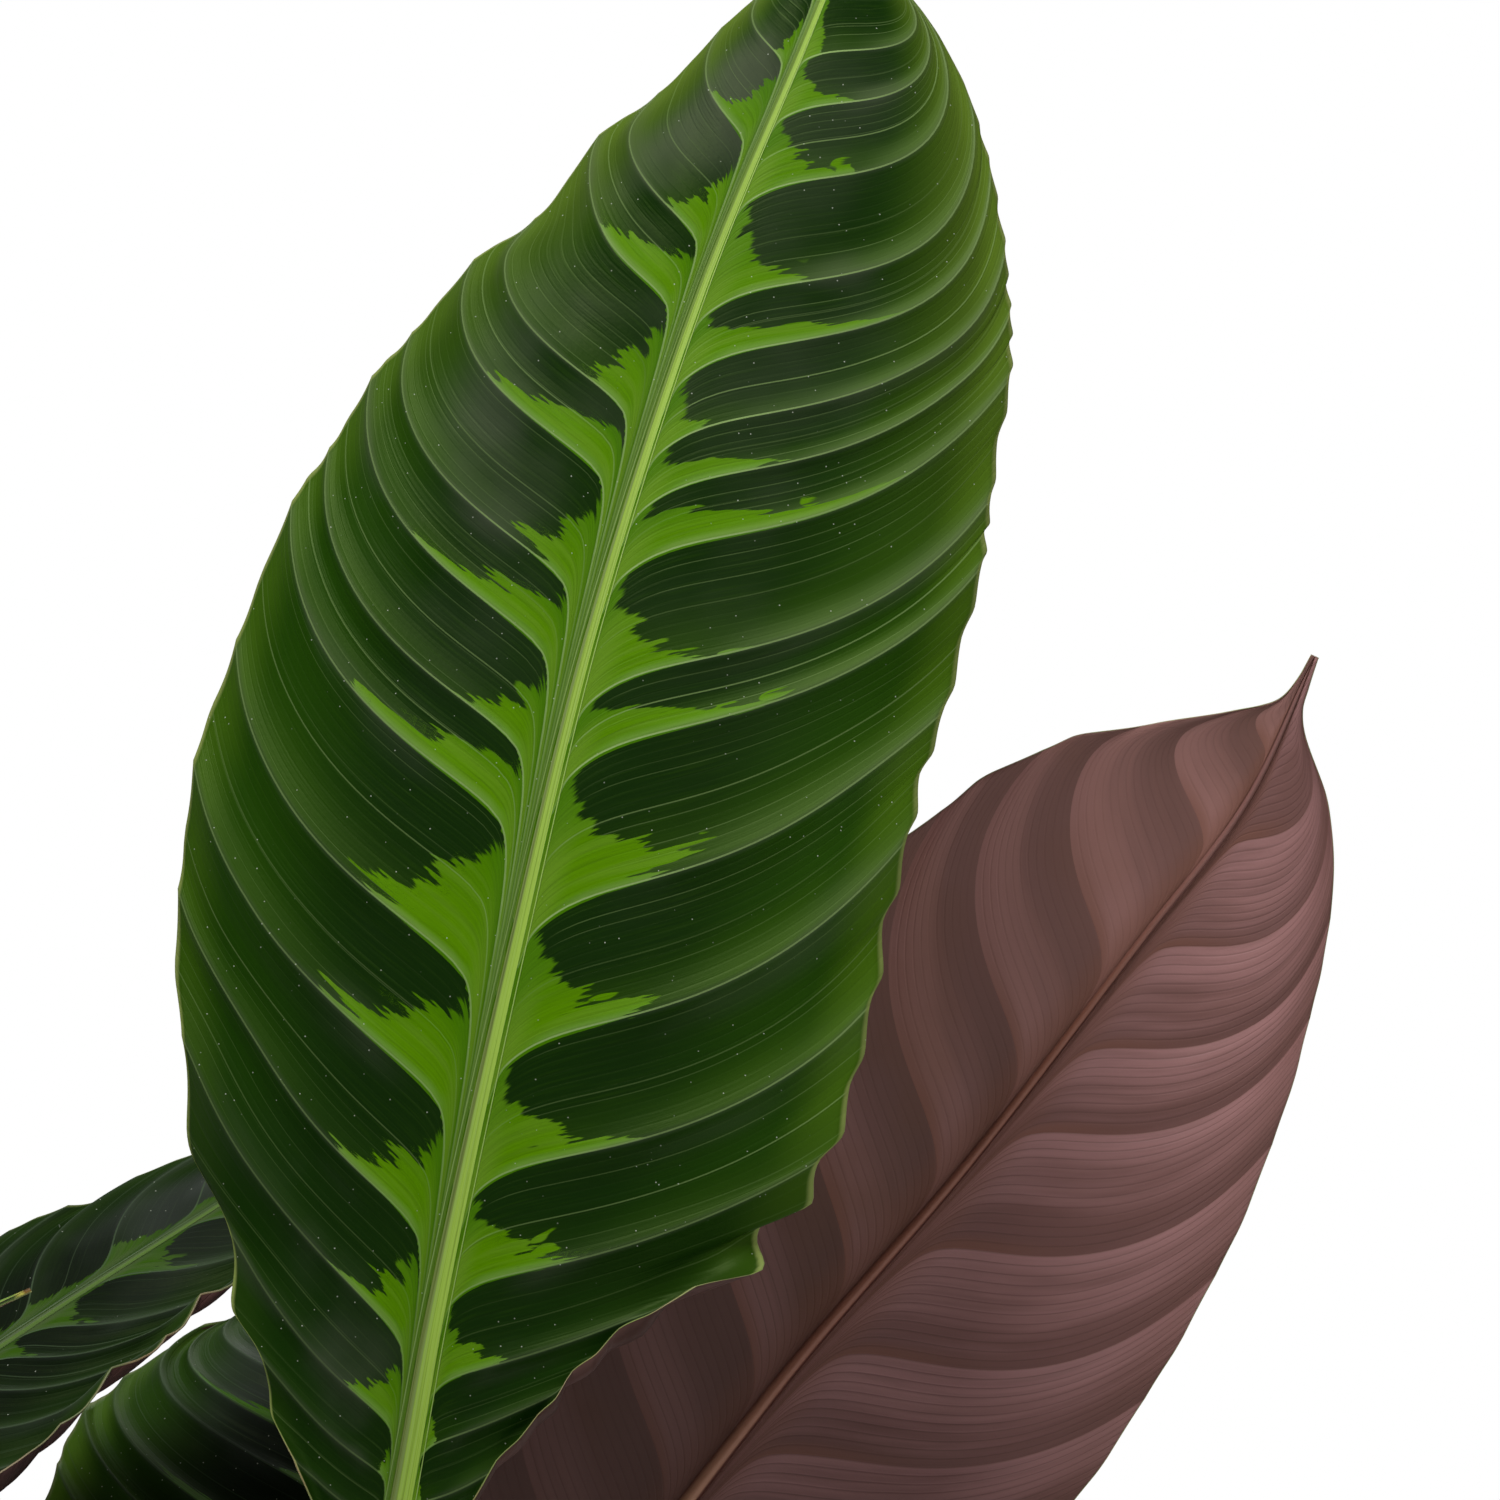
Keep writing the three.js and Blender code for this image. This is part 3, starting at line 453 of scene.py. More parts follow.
class LeafShape:
    """The middle line of a leaf, measured by its length, with its stalk and its blade on it."""

    def __init__(self, leaf):
        self.leaf = leaf
        x, y = leaf["foot"]
        stalk = [(x, y, STALK_FOOT_LEVEL), (x, y, STALK_CLEAR_LEVEL)] + leaf["stalk"]
        per_segment = 120
        self.path = smooth_path(stalk + leaf["midrib"], per_segment)
        steps = np.linalg.norm(np.diff(self.path, axis=0), axis=1)
        self.lengths = np.concatenate([[0], np.cumsum(steps)])
        self.blade_start = self.lengths[len(stalk) * per_segment]
        self.blade_length = self.lengths[-1] - self.blade_start
        self.face = unit(np.array(leaf["face"], float))
        self.count = len(leaf["veins_left"]) - 1

    def point_at(self, length):
        return np.stack([np.interp(length, self.lengths, self.path[:, k]) for k in range(3)], -1)

    def tangent_at(self, length):
        reach = 1.5
        return unit(self.point_at(length + reach) - self.point_at(length - reach))

    def blade_frame(self, along):
        """Middle points, ways the upper side faces and ways to the right, at shares of the blade's length."""
        length = self.blade_start + np.asarray(along, float) * self.blade_length
        tangent = self.tangent_at(length)
        t = np.clip(along, 0, 1)[..., None]
        base, middle, tip = self.face
        up = (1 - t) ** 2 * base + 2 * t * (1 - t) * middle + t * t * tip
        up = unit(up - tangent * np.sum(up * tangent, -1, keepdims=True))
        return self.point_at(length), up, np.cross(tangent, up)

    def stalk_radius(self, length):
        share = np.clip(length / self.blade_start, 0, 1)
        swell = ease(1 - np.abs(self.blade_start - length) / SWELLING_LENGTH)
        rib = self.leaf["rib_radius"]
        return STALK_FOOT_RADIUS + (rib - STALK_FOOT_RADIUS) * share + SWELLING * swell

    def point_share(self, along):
        """1 along the blade, running out to nothing over the last of its tip."""
        return np.sqrt(np.clip((1 - along) / POINT_SHARE, 0.01, 1))

    def rib_radius(self, along):
        radius = self.leaf["rib_radius"] * (1 - (1 - RIB_TIP_SHARE) * np.clip(along, 0, 1))
        return radius * self.point_share(along)

    def station(self, row, side):
        """Share of the blade's length at which a side vein, by its running number, leaves the midrib."""
        return table_at(list(enumerate(self.leaf["veins" + tail_of(side)])), row)

    def vein_at(self, along, p, side):
        """Running number of the side vein at places in columns of equal p. Close to the midrib, a side vein
        runs along it for a while before it turns outwards."""
        tail = tail_of(side)
        run, turn = self.leaf["rib_run" + tail]
        steps_per_vein = 40
        row = np.linspace(0, self.count, steps_per_vein * self.count + 1)
        station = self.station(row, side)
        sweep = table_at(self.leaf["sweep" + tail], station)
        vein = np.empty_like(along)
        for k, share in enumerate(p):
            reached = station + sweep * vein_bend(share) - run * math.exp(-max(share, 0) / turn)
            vein[:, k] = np.interp(along[:, k], reached, row)
        return vein

    def blade_points(self, row, p, side):
        """Points of one half of the blade, the ways its upper side faces there and their shares of its
        length, at running numbers of side veins (row) and shares of the half's width (p)."""
        leaf = self.leaf
        tail = tail_of(side)
        row, p = np.broadcast_arrays(np.asarray(row, float), np.asarray(p, float))
        station = self.station(row, side)
        along = station + table_at(leaf["sweep" + tail], station) * vein_bend(p)
        middle, up, right = self.blade_frame(along)
        rib = self.rib_radius(along)
        least_width = 0.6 * self.point_share(along)
        width = np.maximum(table_at(leaf[tail[1:]], along) - rib, least_width)
        plain_end = 0.1
        inner = np.clip(along / plain_end, 0, 1) * np.clip((1 - along) / plain_end, 0, 1)
        mean_lobe = 0.35
        lobes = lobe(row * leaf["lobes" + tail]) - mean_lobe
        scallop = table_at(leaf["scallop" + tail], along) * lobes * inner
        fold, droop, roll = (
            np.radians(table_at(leaf[name + tail], along)) for name in ("fold", "droop", "roll")
        )

        def slope_at(x):
            return fold + (droop - fold) * x + roll * ease((x - ROLL_START) / (1 - ROLL_START))

        out = rib.copy()
        rise = np.zeros_like(rib)
        steps = 32
        for k in range(steps):
            x = p * (k + 0.5) / steps
            widening = 1 + 5 * scallop * x**4
            step = width * p / steps * widening
            out += np.cos(slope_at(x)) * step
            rise += np.sin(slope_at(x)) * step
        slope = slope_at(p)[..., None]
        normal = up * np.cos(slope) - right * side * np.sin(slope)
        pleat = table_at(leaf["pleat"], along)
        trough = -pleat * np.abs(np.sin(np.pi * row)) * ease(p / PLEAT_FULL) * (1 - PLEAT_LOSS * p)
        second = -leaf["second"] * pleat * np.abs(np.sin(2 * np.pi * row))
        second = second * ease((p - SECOND_START) / SECOND_RISE) * (1 - SECOND_LOSS * p)
        turn = np.pi * row + leaf["phase"] * (1 if side > 0 else 2)
        ruffle = table_at(leaf["ruffle"], along) * np.sin(turn) * p**4
        height = (trough + second + ruffle)[..., None]
        points = middle + right * (side * out)[..., None] + up * rise[..., None] + normal * height
        return points, normal, along


def grid_faces(rows, columns):
    """Faces between rings of a tube of points, numbered ring by ring."""
    r = np.arange(rows - 1)[:, None]
    c = np.arange(columns)[None, :]
    n = (c + 1) % columns
    quads = np.stack([r * columns + c, r * columns + n, (r + 1) * columns + n, (r + 1) * columns + c], -1)
    return quads.reshape(-1, 4)


def make_object(name, points, faces, materials, material_index=None, attributes=None):
    """A smooth-shaded mesh object from points in millimetres."""
    mesh = bpy.data.meshes.new(name)
    sizes = [len(f) for f in faces]
    flat = np.concatenate([np.asarray(f) for f in faces])
    mesh.vertices.add(len(points))
    mesh.vertices.foreach_set("co", (np.asarray(points) * MM).astype(np.float32).ravel())
    mesh.loops.add(len(flat))
    mesh.loops.foreach_set("vertex_index", flat.astype(np.int32))
    mesh.polygons.add(len(faces))
    starts = np.concatenate([[0], np.cumsum(sizes)[:-1]])
    mesh.polygons.foreach_set("loop_start", starts.astype(np.int32))
    mesh.polygons.foreach_set("loop_total", np.array(sizes, np.int32))
    if material_index is not None:
        mesh.polygons.foreach_set("material_index", np.asarray(material_index, np.int32))
    mesh.update(calc_edges=True)
    mesh.polygons.foreach_set("use_smooth", np.ones(len(faces), bool))
    for label, values in (attributes or {}).items():
        layer = mesh.attributes.new(label, "FLOAT", "POINT")
        layer.data.foreach_set("value", np.asarray(values, np.float32))
    for material in materials:
        mesh.materials.append(material)
    obj = bpy.data.objects.new(name, mesh)
    bpy.context.scene.collection.objects.link(obj)
    return obj


def reach_at(reaches, row, least, fall):
    """Envelope of the light green: furthest just past a side vein, shortest before the next one."""
    index = np.clip(np.floor(row).astype(int), 0, len(reaches) - 1)
    share = row - np.floor(row)
    return least + (np.array(reaches)[index] - least) * (1 - share) ** fall


def fine_count(veins, row, total):
    """Running number of fine lines, so that wide intervals hold more of them than narrow ones."""
    least = 2
    widths = np.diff(np.array(veins))
    counts = np.maximum(np.round(widths / widths.sum() * total), least)
    knots = np.concatenate([[0], np.cumsum(counts)])
    return np.interp(row, np.arange(len(knots)), knots)


def half_columns(leaf):
    """Shares of the half-width at the columns of the mesh, close together at the midrib and at the margin."""
    near, middle, outer = leaf["columns"]
    inside_rib = -0.006
    beside_rib = 0.1
    return np.concatenate([
        [inside_rib],
        np.linspace(0, beside_rib, near, endpoint=False),
        np.linspace(beside_rib, ROLL_START, middle, endpoint=False),
        np.linspace(ROLL_START, 1, outer),
    ])


def spacing(points, values):
    """Millimetres that one whole step of values takes on the surface, square to its lines."""
    least, most, tiny = 0.3, 60, 1e-9
    by_row, by_column = np.gradient(points, axis=(0, 1))
    value_by_row, value_by_column = np.gradient(values)
    rr = np.sum(by_row * by_row, -1)
    rc = np.sum(by_row * by_column, -1)
    cc = np.sum(by_column * by_column, -1)
    area = np.maximum(rr * cc - rc * rc, tiny)
    steep = (cc * value_by_row**2 - 2 * rc * value_by_row * value_by_column + rr * value_by_column**2) / area
    return np.clip(1 / np.sqrt(np.maximum(steep, tiny)), least, most)


def half_mesh(shape, side):
    """One half of the blade as a closed sheet: points, faces, kinds of face and what its materials read."""
    leaf = shape.leaf
    tail = tail_of(side)
    rows = shape.count * leaf["rows"] + 1
    row = np.linspace(0, shape.count, rows)[:, None]
    p = half_columns(leaf)
    columns = len(p)
    middle, normal, along = shape.blade_points(row, p[None, :], side)
    vein = shape.vein_at(along, p, side)
    across = np.repeat(p[None, :], rows, 0)
    thickness = BLADE_THICKNESS + (MARGIN_THICKNESS - BLADE_THICKNESS) * np.maximum(across, 0) ** 3
    thickness[:, 0] = RIB_SEAM_THICKNESS
    half = normal * (thickness / 2)[..., None]
    outward = unit(middle[:, -1:] - middle[:, -2:-1])
    rounding = 0.45
    edge = middle[:, -1:] + outward * MARGIN_THICKNESS * rounding

    def around(values):
        """Values of the columns, carried round the sheet: above, margin, below."""
        ring = np.concatenate([values, values[:, -1:], values[:, ::-1]], 1)
        return (ring if side > 0 else ring[:, ::-1]).ravel()

    ring = np.concatenate([middle + half, edge, (middle - half)[:, ::-1]], 1)
    kinds = np.array([UPPER] * (columns - 1) + [MARGIN] * 2 + [UNDER] * columns)
    if side < 0:
        ring = ring[:, ::-1]
        kinds = np.roll(kinds[::-1], -1)
    faces = grid_faces(rows, ring.shape[1])
    caps = []
    for first, flip in ((0, True), ((rows - 1) * ring.shape[1], False)):
        for k in range(columns):
            quad = [first + k, first + k + 1, first + 2 * columns - k - 1, first + 2 * columns - k]
            quad = quad[:3] if k == columns - 1 else quad
            caps.append(quad[::-1] if flip else quad)
    reach = reach_at(leaf["reach" + tail], vein, LEAST_REACH[tail], REACH_FALL[tail])
    attributes = {
        "vein": around(vein),
        "across": around(across),
        "along": around(along),
        "side": around(np.full_like(across, side)),
        "reach": around(reach),
        "fine": around(fine_count(leaf["veins" + tail], vein, shape.blade_length / FINE_VEIN_PITCH)),
        "pitch": around(spacing(middle, vein)),
    }
    all_kinds = np.concatenate([np.tile(kinds, rows - 1), np.full(len(caps), MARGIN)])
    return ring.reshape(-1, 3), list(faces) + caps, all_kinds, attributes


def stalk_rings(start, length):
    """Lengths along the middle line at the rings of the stalk and the rib, close together near the base and
    the tip of the blade, which starts at start and is length long."""
    before, after = start - 40, start + RIB_BLEND
    near_tip, tip = start + 0.97 * length, start + 0.9995 * length
    stretches = ((0, before, 60), (before, after, 36), (after, near_tip, 130), (near_tip, tip, 16))
    return np.concatenate([np.linspace(a, b, count)[:-1] for a, b, count in stretches] + [[tip]])


def stalk_mesh(shape):
    """The stalk and the rib of the blade as one tapering body, grooved above and round below."""
    sides = 28
    start, length = shape.blade_start, shape.blade_length
    lengths = stalk_rings(start, length)
    along = (lengths - start) / length
    on_blade = ease((lengths - start) / RIB_BLEND + 0.5)
    radius = shape.stalk_radius(np.minimum(lengths, start))
    radius = radius + (shape.rib_radius(along) - radius) * on_blade
    tangent = shape.tangent_at(lengths)
    up = np.array(shape.blade_frame(np.clip(along, 0, 1))[1])
    first_blade = int(np.argmax(lengths >= start))
    for i in range(first_blade - 1, -1, -1):
        up[i] = unit(up[i + 1] - tangent[i] * np.dot(up[i + 1], tangent[i]))
    right = np.cross(tangent, up)
    angle = np.linspace(0, 2 * np.pi, sides, endpoint=False)
    weight = on_blade[:, None]
    r = radius[:, None]
    x = -np.cos(angle)
    lip = BLADE_THICKNESS / 2 + RIB_LIP
    on_top = np.sin(angle) > -1e-6
    band = np.where(on_top, 1 + (RIB_BAND - 1) * weight, 1)
    folds = [np.radians(table_at(shape.leaf[name], along))[:, None] for name in ("fold_left", "fold_right")]
    rise = np.maximum(np.abs(x) * band - 1, 0) * r * np.tan(np.where(x < 0, folds[0], folds[1]))
    above = lip - RIB_GROOVE * r * (1 - np.abs(x) ** 1.6) + rise
    below = lip + 2 * r * np.sin(angle)
    height = r * np.sin(angle) * (1 - weight) + np.where(on_top, above, below) * weight
    ring = (
        shape.point_at(lengths)[:, None, :]
        + right[:, None, :] * (r * x * band)[..., None]
        + up[:, None, :] * height[..., None]
    )
    rings = len(lengths)
    faces = list(grid_faces(rings, sides))
    face_above = np.tile(np.sin(angle + np.pi / sides) > 0, rings - 1)
    kinds = list(np.where(face_above & (np.repeat(along[:-1], sides) > 0), RIB, STALK)) + [STALK, STALK]
    faces.append(list(range(sides))[::-1])
    faces.append([(rings - 1) * sides + k for k in range(sides)])
    attributes = {
        "along": np.repeat(along, sides),
        "side": np.tile(x, rings),
        "low": np.tile(-np.sin(angle), rings),
    }
    return ring.reshape(-1, 3), faces, kinds, attributes


class Nodes:
    """Short names for the nodes of one material. A value is a number, a colour or the output of a node."""

    def __init__(self, name):
        self.material = bpy.data.materials.new(name)
        self.material.use_nodes = True
        self.tree = self.material.node_tree
        self.tree.nodes.clear()
        self.output = self.tree.nodes.new("ShaderNodeOutputMaterial")

    def put(self, socket, value):
        if isinstance(value, bpy.types.NodeSocket):
            self.tree.links.new(value, socket)
        elif isinstance(value, tuple) and len(value) == 3 and socket.type == "RGBA":
            socket.default_value = (*value, 1)
        else:
            socket.default_value = value

    def node(self, kind, values, output=0, **settings):
        """One output of a new node, whose sockets get the values by name or number."""
        node = self.tree.nodes.new("ShaderNode" + kind)
        for name, setting in settings.items():
            setattr(node, name, setting)
        for socket, value in values.items():
            self.put(node.inputs[socket], value)
        return node.outputs[output]

    def read(self, name):
        return self.node("Attribute", {}, "Fac", attribute_name=name)

    def math(self, operation, a, b=0.0):
        return self.node("Math", {0: a, 1: b}, operation=operation)

    def add(self, first, *others):
        for other in others:
            first = self.math("ADD", first, other)
        return first

    def mul(self, first, *others):
        for other in others:
            first = self.math("MULTIPLY", first, other)
        return first

    def sub(self, a, b):
        return self.math("SUBTRACT", a, b)

    def ramp(self, value, low, high, out_low=0.0, out_high=1.0):
        """Smooth step from out_low at low to out_high at high."""
        values = {"Value": value, "From Min": low, "From Max": high, "To Min": out_low, "To Max": out_high}
        return self.node("MapRange", values, "Result", interpolation_type="SMOOTHSTEP")

    def mix(self, share, a, b, blend="MIX"):
        return self.node("Mix", {"Factor": share, 6: a, 7: b}, 2, data_type="RGBA", blend_type=blend)

    def vector(self, x, y, z=0.0):
        return self.node("CombineXYZ", {0: x, 1: y, 2: z})

    def place(self):
        return self.node("TexCoord", {}, "Object")

    def noise(self, vector, scale, detail=2.0, roughness=0.5):
        values = {"Vector": vector, "Scale": scale, "Detail": detail, "Roughness": roughness}
        return self.node("TexNoise", values, "Fac")

    def random(self, value):
        """A number from 0 to 1 that belongs to each whole value."""
        return self.node("TexWhiteNoise", {"W": value}, "Value", noise_dimensions="1D")

    def cells(self, vector, scale):
        return self.node("TexVoronoi", {"Vector": vector, "Scale": scale}, "Distance")

    def bump(self, height, distance):
        return self.node("Bump", {"Strength": 1.0, "Distance": distance, "Height": height}, "Normal")

    def finish(self, color, roughness, normal=None, **others):
        """The material, whose shader gets the other values by name: specular_tint goes to Specular Tint."""
        values = {"Base Color": color, "Roughness": roughness}
        if normal is not None:
            values["Normal"] = normal
        for name, value in others.items():
            values[name.replace("_", " ").title().replace("Ior", "IOR")] = value
        shader = self.node("BsdfPrincipled", values, "BSDF")
        self.tree.links.new(shader, self.output.inputs["Surface"])
        return self.material


class BladeNodes(Nodes):
    """Nodes of a blade's material, which read the place in the blade: the running numbers of the side veins
    and of the fine ones, the shares across and along, the half (-1 or 1) and the millimetres from one side
    vein to the next."""

    def __init__(self, name):
        super().__init__(name)
        self.vein = self.read("vein")
        self.fine = self.read("fine")
        self.across = self.read("across")
        self.along = self.read("along")
        self.side = self.read("side")
        self.pitch = self.read("pitch")
        self.share = self.math("FRACT", self.vein)
        self.to_vein = self.math("MINIMUM", self.share, self.sub(1.0, self.share))
        self.vein_mm = self.mul(self.to_vein, self.pitch)
        to_fine = self.sub(self.math("FRACT", self.add(self.fine, 0.5)), 0.5)
        self.to_fine = self.math("ABSOLUTE", to_fine)

    def halves(self, left, right):
        """One number in the left half and another in the right half."""
        return self.ramp(self.side, -0.5, 0.5, left, right)

    def swing(self, noise, size):
        """Noise about zero."""
        return self.mul(self.sub(noise, 0.5), size)

    def grain(self, lines, by_line, by_width, scale, detail, roughness):
        """Noise drawn out along the side veins, by the running number of the side veins or the fine ones."""
        vector = self.vector(self.mul(lines, by_line), self.mul(self.across, by_width), self.side)
        return self.noise(vector, scale, detail, roughness)

    def draw(self, lines, seed):
        """A number from 0 to 1 for each whole line of each half."""
        return self.random(self.add(self.math("FLOOR", lines), self.mul(self.side, seed)))


def rgb(red, green, blue):
    """A colour as it is seen, from 0 to 255, as the linear numbers that the shaders work in."""
    levels = (level / 255 for level in (red, green, blue))
    return tuple(((c + 0.055) / 1.055) ** 2.4 if c > 0.0393 else c / 12.92 for c in levels)


# Colours of the upper side of a leaf in good light, and of one in the shade of other leaves, darker as
# painted shade. Among them are the colours of painted highlights, glow and sheen, and of the painted light
# and shade on the rib
COLORS = {
    "crest": ((42, 72, 10), (34, 52, 22)),
    "dark": ((15, 39, 7), (18, 26, 16)),
    "outer": ((28, 60, 4), (24, 42, 14)),
    "lit_green": ((62, 94, 14), (36, 58, 18)),
    "high": ((112, 134, 48), (36, 58, 18)),
    "light": ((80, 126, 0), (54, 88, 14)),
    "deep": ((56, 104, 0), (44, 78, 8)),
    "pale": ((94, 132, 30), (72, 92, 50)),
    "line": ((132, 158, 96), (74, 92, 66)),
    "ridge_sheen": ((94, 118, 64), (64, 82, 54)),
    "grey": ((78, 82, 70), (70, 76, 70)),
    "rib_lit": ((152, 184, 70), (92, 122, 50)),
    "rib_shaded": ((116, 146, 58), (74, 102, 42)),
    "groove": ((112, 116, 66), (78, 88, 52)),
    "edge": ((126, 140, 74), (96, 108, 60)),
}
LOOKS = {
    "tall": {"painted_sheen": 0.5, "roughness": 0.42, "gloss": 0.07},
    "shade": {"painted_sheen": 0.4, "roughness": 0.4, "gloss": 0.03},
}
for color_name, (good_light, dim_light) in COLORS.items():
    LOOKS["tall"][color_name] = rgb(*good_light)
    LOOKS["shade"][color_name] = rgb(*dim_light)
LOOKS["plain"] = LOOKS["tall"]
# A shaded leaf whose outer green, margin and light green are painted brighter, as where light shines through
# it
LOOKS["dusk"] = {
    **LOOKS["shade"],
    "outer": rgb(36, 62, 14),
    "lit_green": rgb(80, 112, 28),
    "light": rgb(66, 112, 10),
}

# Tint of the gloss on the upper side
SHEEN = (0.75, 1.0, 0.35)

# What the colours of the underside are multiplied by: darker for leaves in the shade, as painted shade
PLAIN_TINT = (1, 1, 1)
SHADE_TINT = (0.35, 0.32, 0.32)
UNDER_TINTS = {"tall": PLAIN_TINT, "plain": PLAIN_TINT, "shade": SHADE_TINT, "dusk": SHADE_TINT}


def dry_tip(n, along, color):
    """The drip tip turns yellow and, at its very end, brown."""
    color = n.mix(n.ramp(along, 0.978, 0.988, 0.0, 0.8), color, rgb(186, 178, 84))
    return n.mix(n.ramp(along, 0.989, 0.994), color, rgb(112, 82, 40))


def dark_green(n, look, streaks, broad):
    """The dark green between the side veins. Painted light and shade lie on it: a painted highlight on the
    flank above each side vein, a painted glow towards the margin, painted shade towards the base and painted
    sheen along the ridges. It is also lighter towards the tip near the margin.
    """
    color = n.mix(n.ramp(n.across, 0.35, 0.8), look["dark"], look["outer"])
    # Painted highlight: the flank above each side vein is lighter, as where light falls on the pleats
    crest = n.ramp(n.add(n.share, n.swing(broad, 0.6)), 0.55, -0.1)
    less_left = n.halves(0.6, 1.0)
    color = n.mix(n.mul(crest, less_left, n.ramp(n.along, 0.1, 0.45, 0.35, 0.7)), color, look["crest"])
    # Painted highlight on those flanks towards the margin, stronger in the right half
    shine = n.mul(crest, n.ramp(n.across, 0.4, 0.8), n.halves(0.15, 0.5))
    color = n.mix(shine, color, look["lit_green"])
    color = n.mix(n.ramp(streaks, 0.45, 0.8, 0.0, 0.25), color, look["crest"])
    # Painted glow along the margin, as of light shining through the thin edge
    rim = n.ramp(n.add(n.across, n.mul(broad, 0.1)), 0.86, 1.02)
    color = n.mix(n.mul(rim, less_left), color, look["lit_green"])
    # Painted shade towards the base, away from the midrib
    low = n.mul(n.ramp(n.along, 0.42, 0.15), n.halves(1.0, 0.9), n.ramp(n.across, 0.15, 0.5))
    color = n.mix(n.mul(low, 0.8), color, look["dark"])
    high = n.mul(n.ramp(n.along, 0.55, 0.95), n.ramp(n.across, 0.45, 1.0))
    color = n.mix(n.mul(high, 0.45), color, look["high"])
    # Painted sheen, grey-green, along the ridges just above the side veins
    ridge_sheen = n.mul(n.ramp(n.share, 0.34, 0.0), n.ramp(n.add(n.across, n.swing(broad, 0.6)), 0.2, 0.6))
    ridge_sheen = n.mul(ridge_sheen, n.ramp(n.along, 0.3, 0.65, 0.2, 1.0), n.halves(0.1, 0.5))
    return n.mix(ridge_sheen, color, look["ridge_sheen"])


def light_wedge(n, tufts, streaks):
    """Where the light green lies: from the midrib out along each side vein, with a ragged edge. On the right,
    a few light islands lie outside that edge and dark ones inside it."""
    reach = n.read("reach")
    steps = n.draw(n.fine, 100.0)
    teeth = n.draw(n.mul(n.fine, 5.0), 500.0)
    ragged = n.add(n.swing(tufts, 0.34), n.swing(steps, 0.16), n.swing(teeth, 0.07), n.swing(streaks, 0.1))
    ragged = n.mul(ragged, n.ramp(reach, 0.03, 0.4, 0.15, 1.0))
    inside = n.sub(n.add(reach, ragged), n.across)
    wedge = n.ramp(inside, -0.005, 0.008)
    isles = n.vector(n.mul(n.fine, 0.6), n.mul(n.across, 5.0), n.add(n.side, 7.0))
    isles = n.noise(isles, 1.0, 1.0)
    far_out = n.mul(n.halves(0.0, 1.0), n.ramp(n.across, 0.12, 0.18), n.ramp(reach, 0.15, 0.2))
    light_isles = n.mul(n.ramp(isles, 0.63, 0.65), n.ramp(inside, -0.14, -0.11), far_out)
    dark_isles = n.mul(n.ramp(isles, 0.36, 0.34), n.ramp(inside, 0.11, 0.08), far_out)
    return n.mul(n.math("MAXIMUM", wedge, light_isles), n.sub(1.0, dark_isles))


def light_green(n, look, tufts, streaks, broad, off_rib):
    """The light green along the midrib, paler at the midrib, with the painted light and shade of the pleats:
    paler above each side vein and deeper below the next.
    """
    color = n.mix(n.ramp(n.across, 0.02, 0.1), look["pale"], look["light"])
    color = n.mix(n.ramp(tufts, 0.45, 0.65, 0.0, 0.5), color, look["pale"])
    # Painted shade of the pleats: deeper green towards the next side vein, paler just above each one
    far_from_vein = n.add(n.share, n.swing(broad, 0.8))
    color = n.mix(n.ramp(far_from_vein, 0.2, 0.9, 0.0, 0.8), color, look["deep"])
    color = n.mix(n.ramp(streaks, 0.4, 0.8, 0.0, 0.3), color, look["crest"])
    next_to_vein = n.ramp(n.mul(n.share, n.pitch), 2.5, 0.0, 0.0, 0.3)
    return n.mix(n.mul(next_to_vein, off_rib), color, look["line"])


def painted_grey_sheen(n, look, place, broad):
    """How much painted grey sheen shows, standing in for light reflected from the velvet: along the ridges,
    and in patches towards tip and base.
    """
    ends = n.math("MAXIMUM", n.ramp(n.along, 0.45, 0.7), n.ramp(n.along, 0.32, 0.15))
    patches = n.mul(n.ramp(n.noise(place, 16, 3.0), 0.42, 0.66), ends)
    patches = n.mul(patches, n.halves(1.0, 0.4), n.ramp(n.across, 0.8, 0.5), look["painted_sheen"])
    ridges = n.mul(n.ramp(broad, 0.5, 0.72), n.ramp(n.to_vein, 0.4, 0.0), n.ramp(n.across, 0.15, 0.4), 0.25)
    return n.add(ridges, patches)


def vein_lines(n, look, wedge, off_rib, color):
    """Fine parallel lines of uneven strength, a weak side vein in the middle of some intervals, and the pale
    side veins with a faint painted highlight, grey, beside them."""
    calm = n.mul(n.ramp(n.along, 0.1, 0.4, 0.4, 1.0), n.halves(0.7, 1.0))
    strength = n.draw(n.add(n.fine, 0.5), 300.0)
    fine_line = n.mul(n.ramp(n.to_fine, 0.07, 0.02), n.ramp(strength, 0.5, 1.0, 0.05, 0.7))
    fine_color = n.mix(wedge, look["line"], look["outer"])
    color = n.mix(n.mul(fine_line, calm, off_rib, 0.3), color, fine_color)
    halfway_mm = n.mul(n.math("ABSOLUTE", n.sub(n.share, 0.47)), n.pitch)
    weak = n.mul(n.ramp(halfway_mm, 0.24, 0.08), n.ramp(n.draw(n.vein, 50.0), 0.2, 0.8, 0.1, 0.45))
    line = n.mul(n.ramp(n.vein_mm, 0.3, 0.14), n.ramp(n.across, 0.2, 0.6, 1.0, 0.6))
    line = n.mul(n.math("MAXIMUM", line, weak), n.ramp(n.across, 0.0, 0.04, 0.3, 1.0))
    color = n.mix(n.mul(line, calm), color, look["line"])
    # Painted highlight beside each side vein
    glow = n.mul(n.ramp(n.vein_mm, 1.6, 0.0), n.ramp(n.across, 0.1, 0.5), 0.2)
    return n.mix(glow, color, look["grey"])


def dust(n, place, color):
    specks = n.mul(n.ramp(n.cells(place, 320), 0.07, 0.04), n.ramp(n.noise(place, 60), 0.36, 0.5), 0.6)
    return n.mix(specks, color, rgb(190, 195, 180))


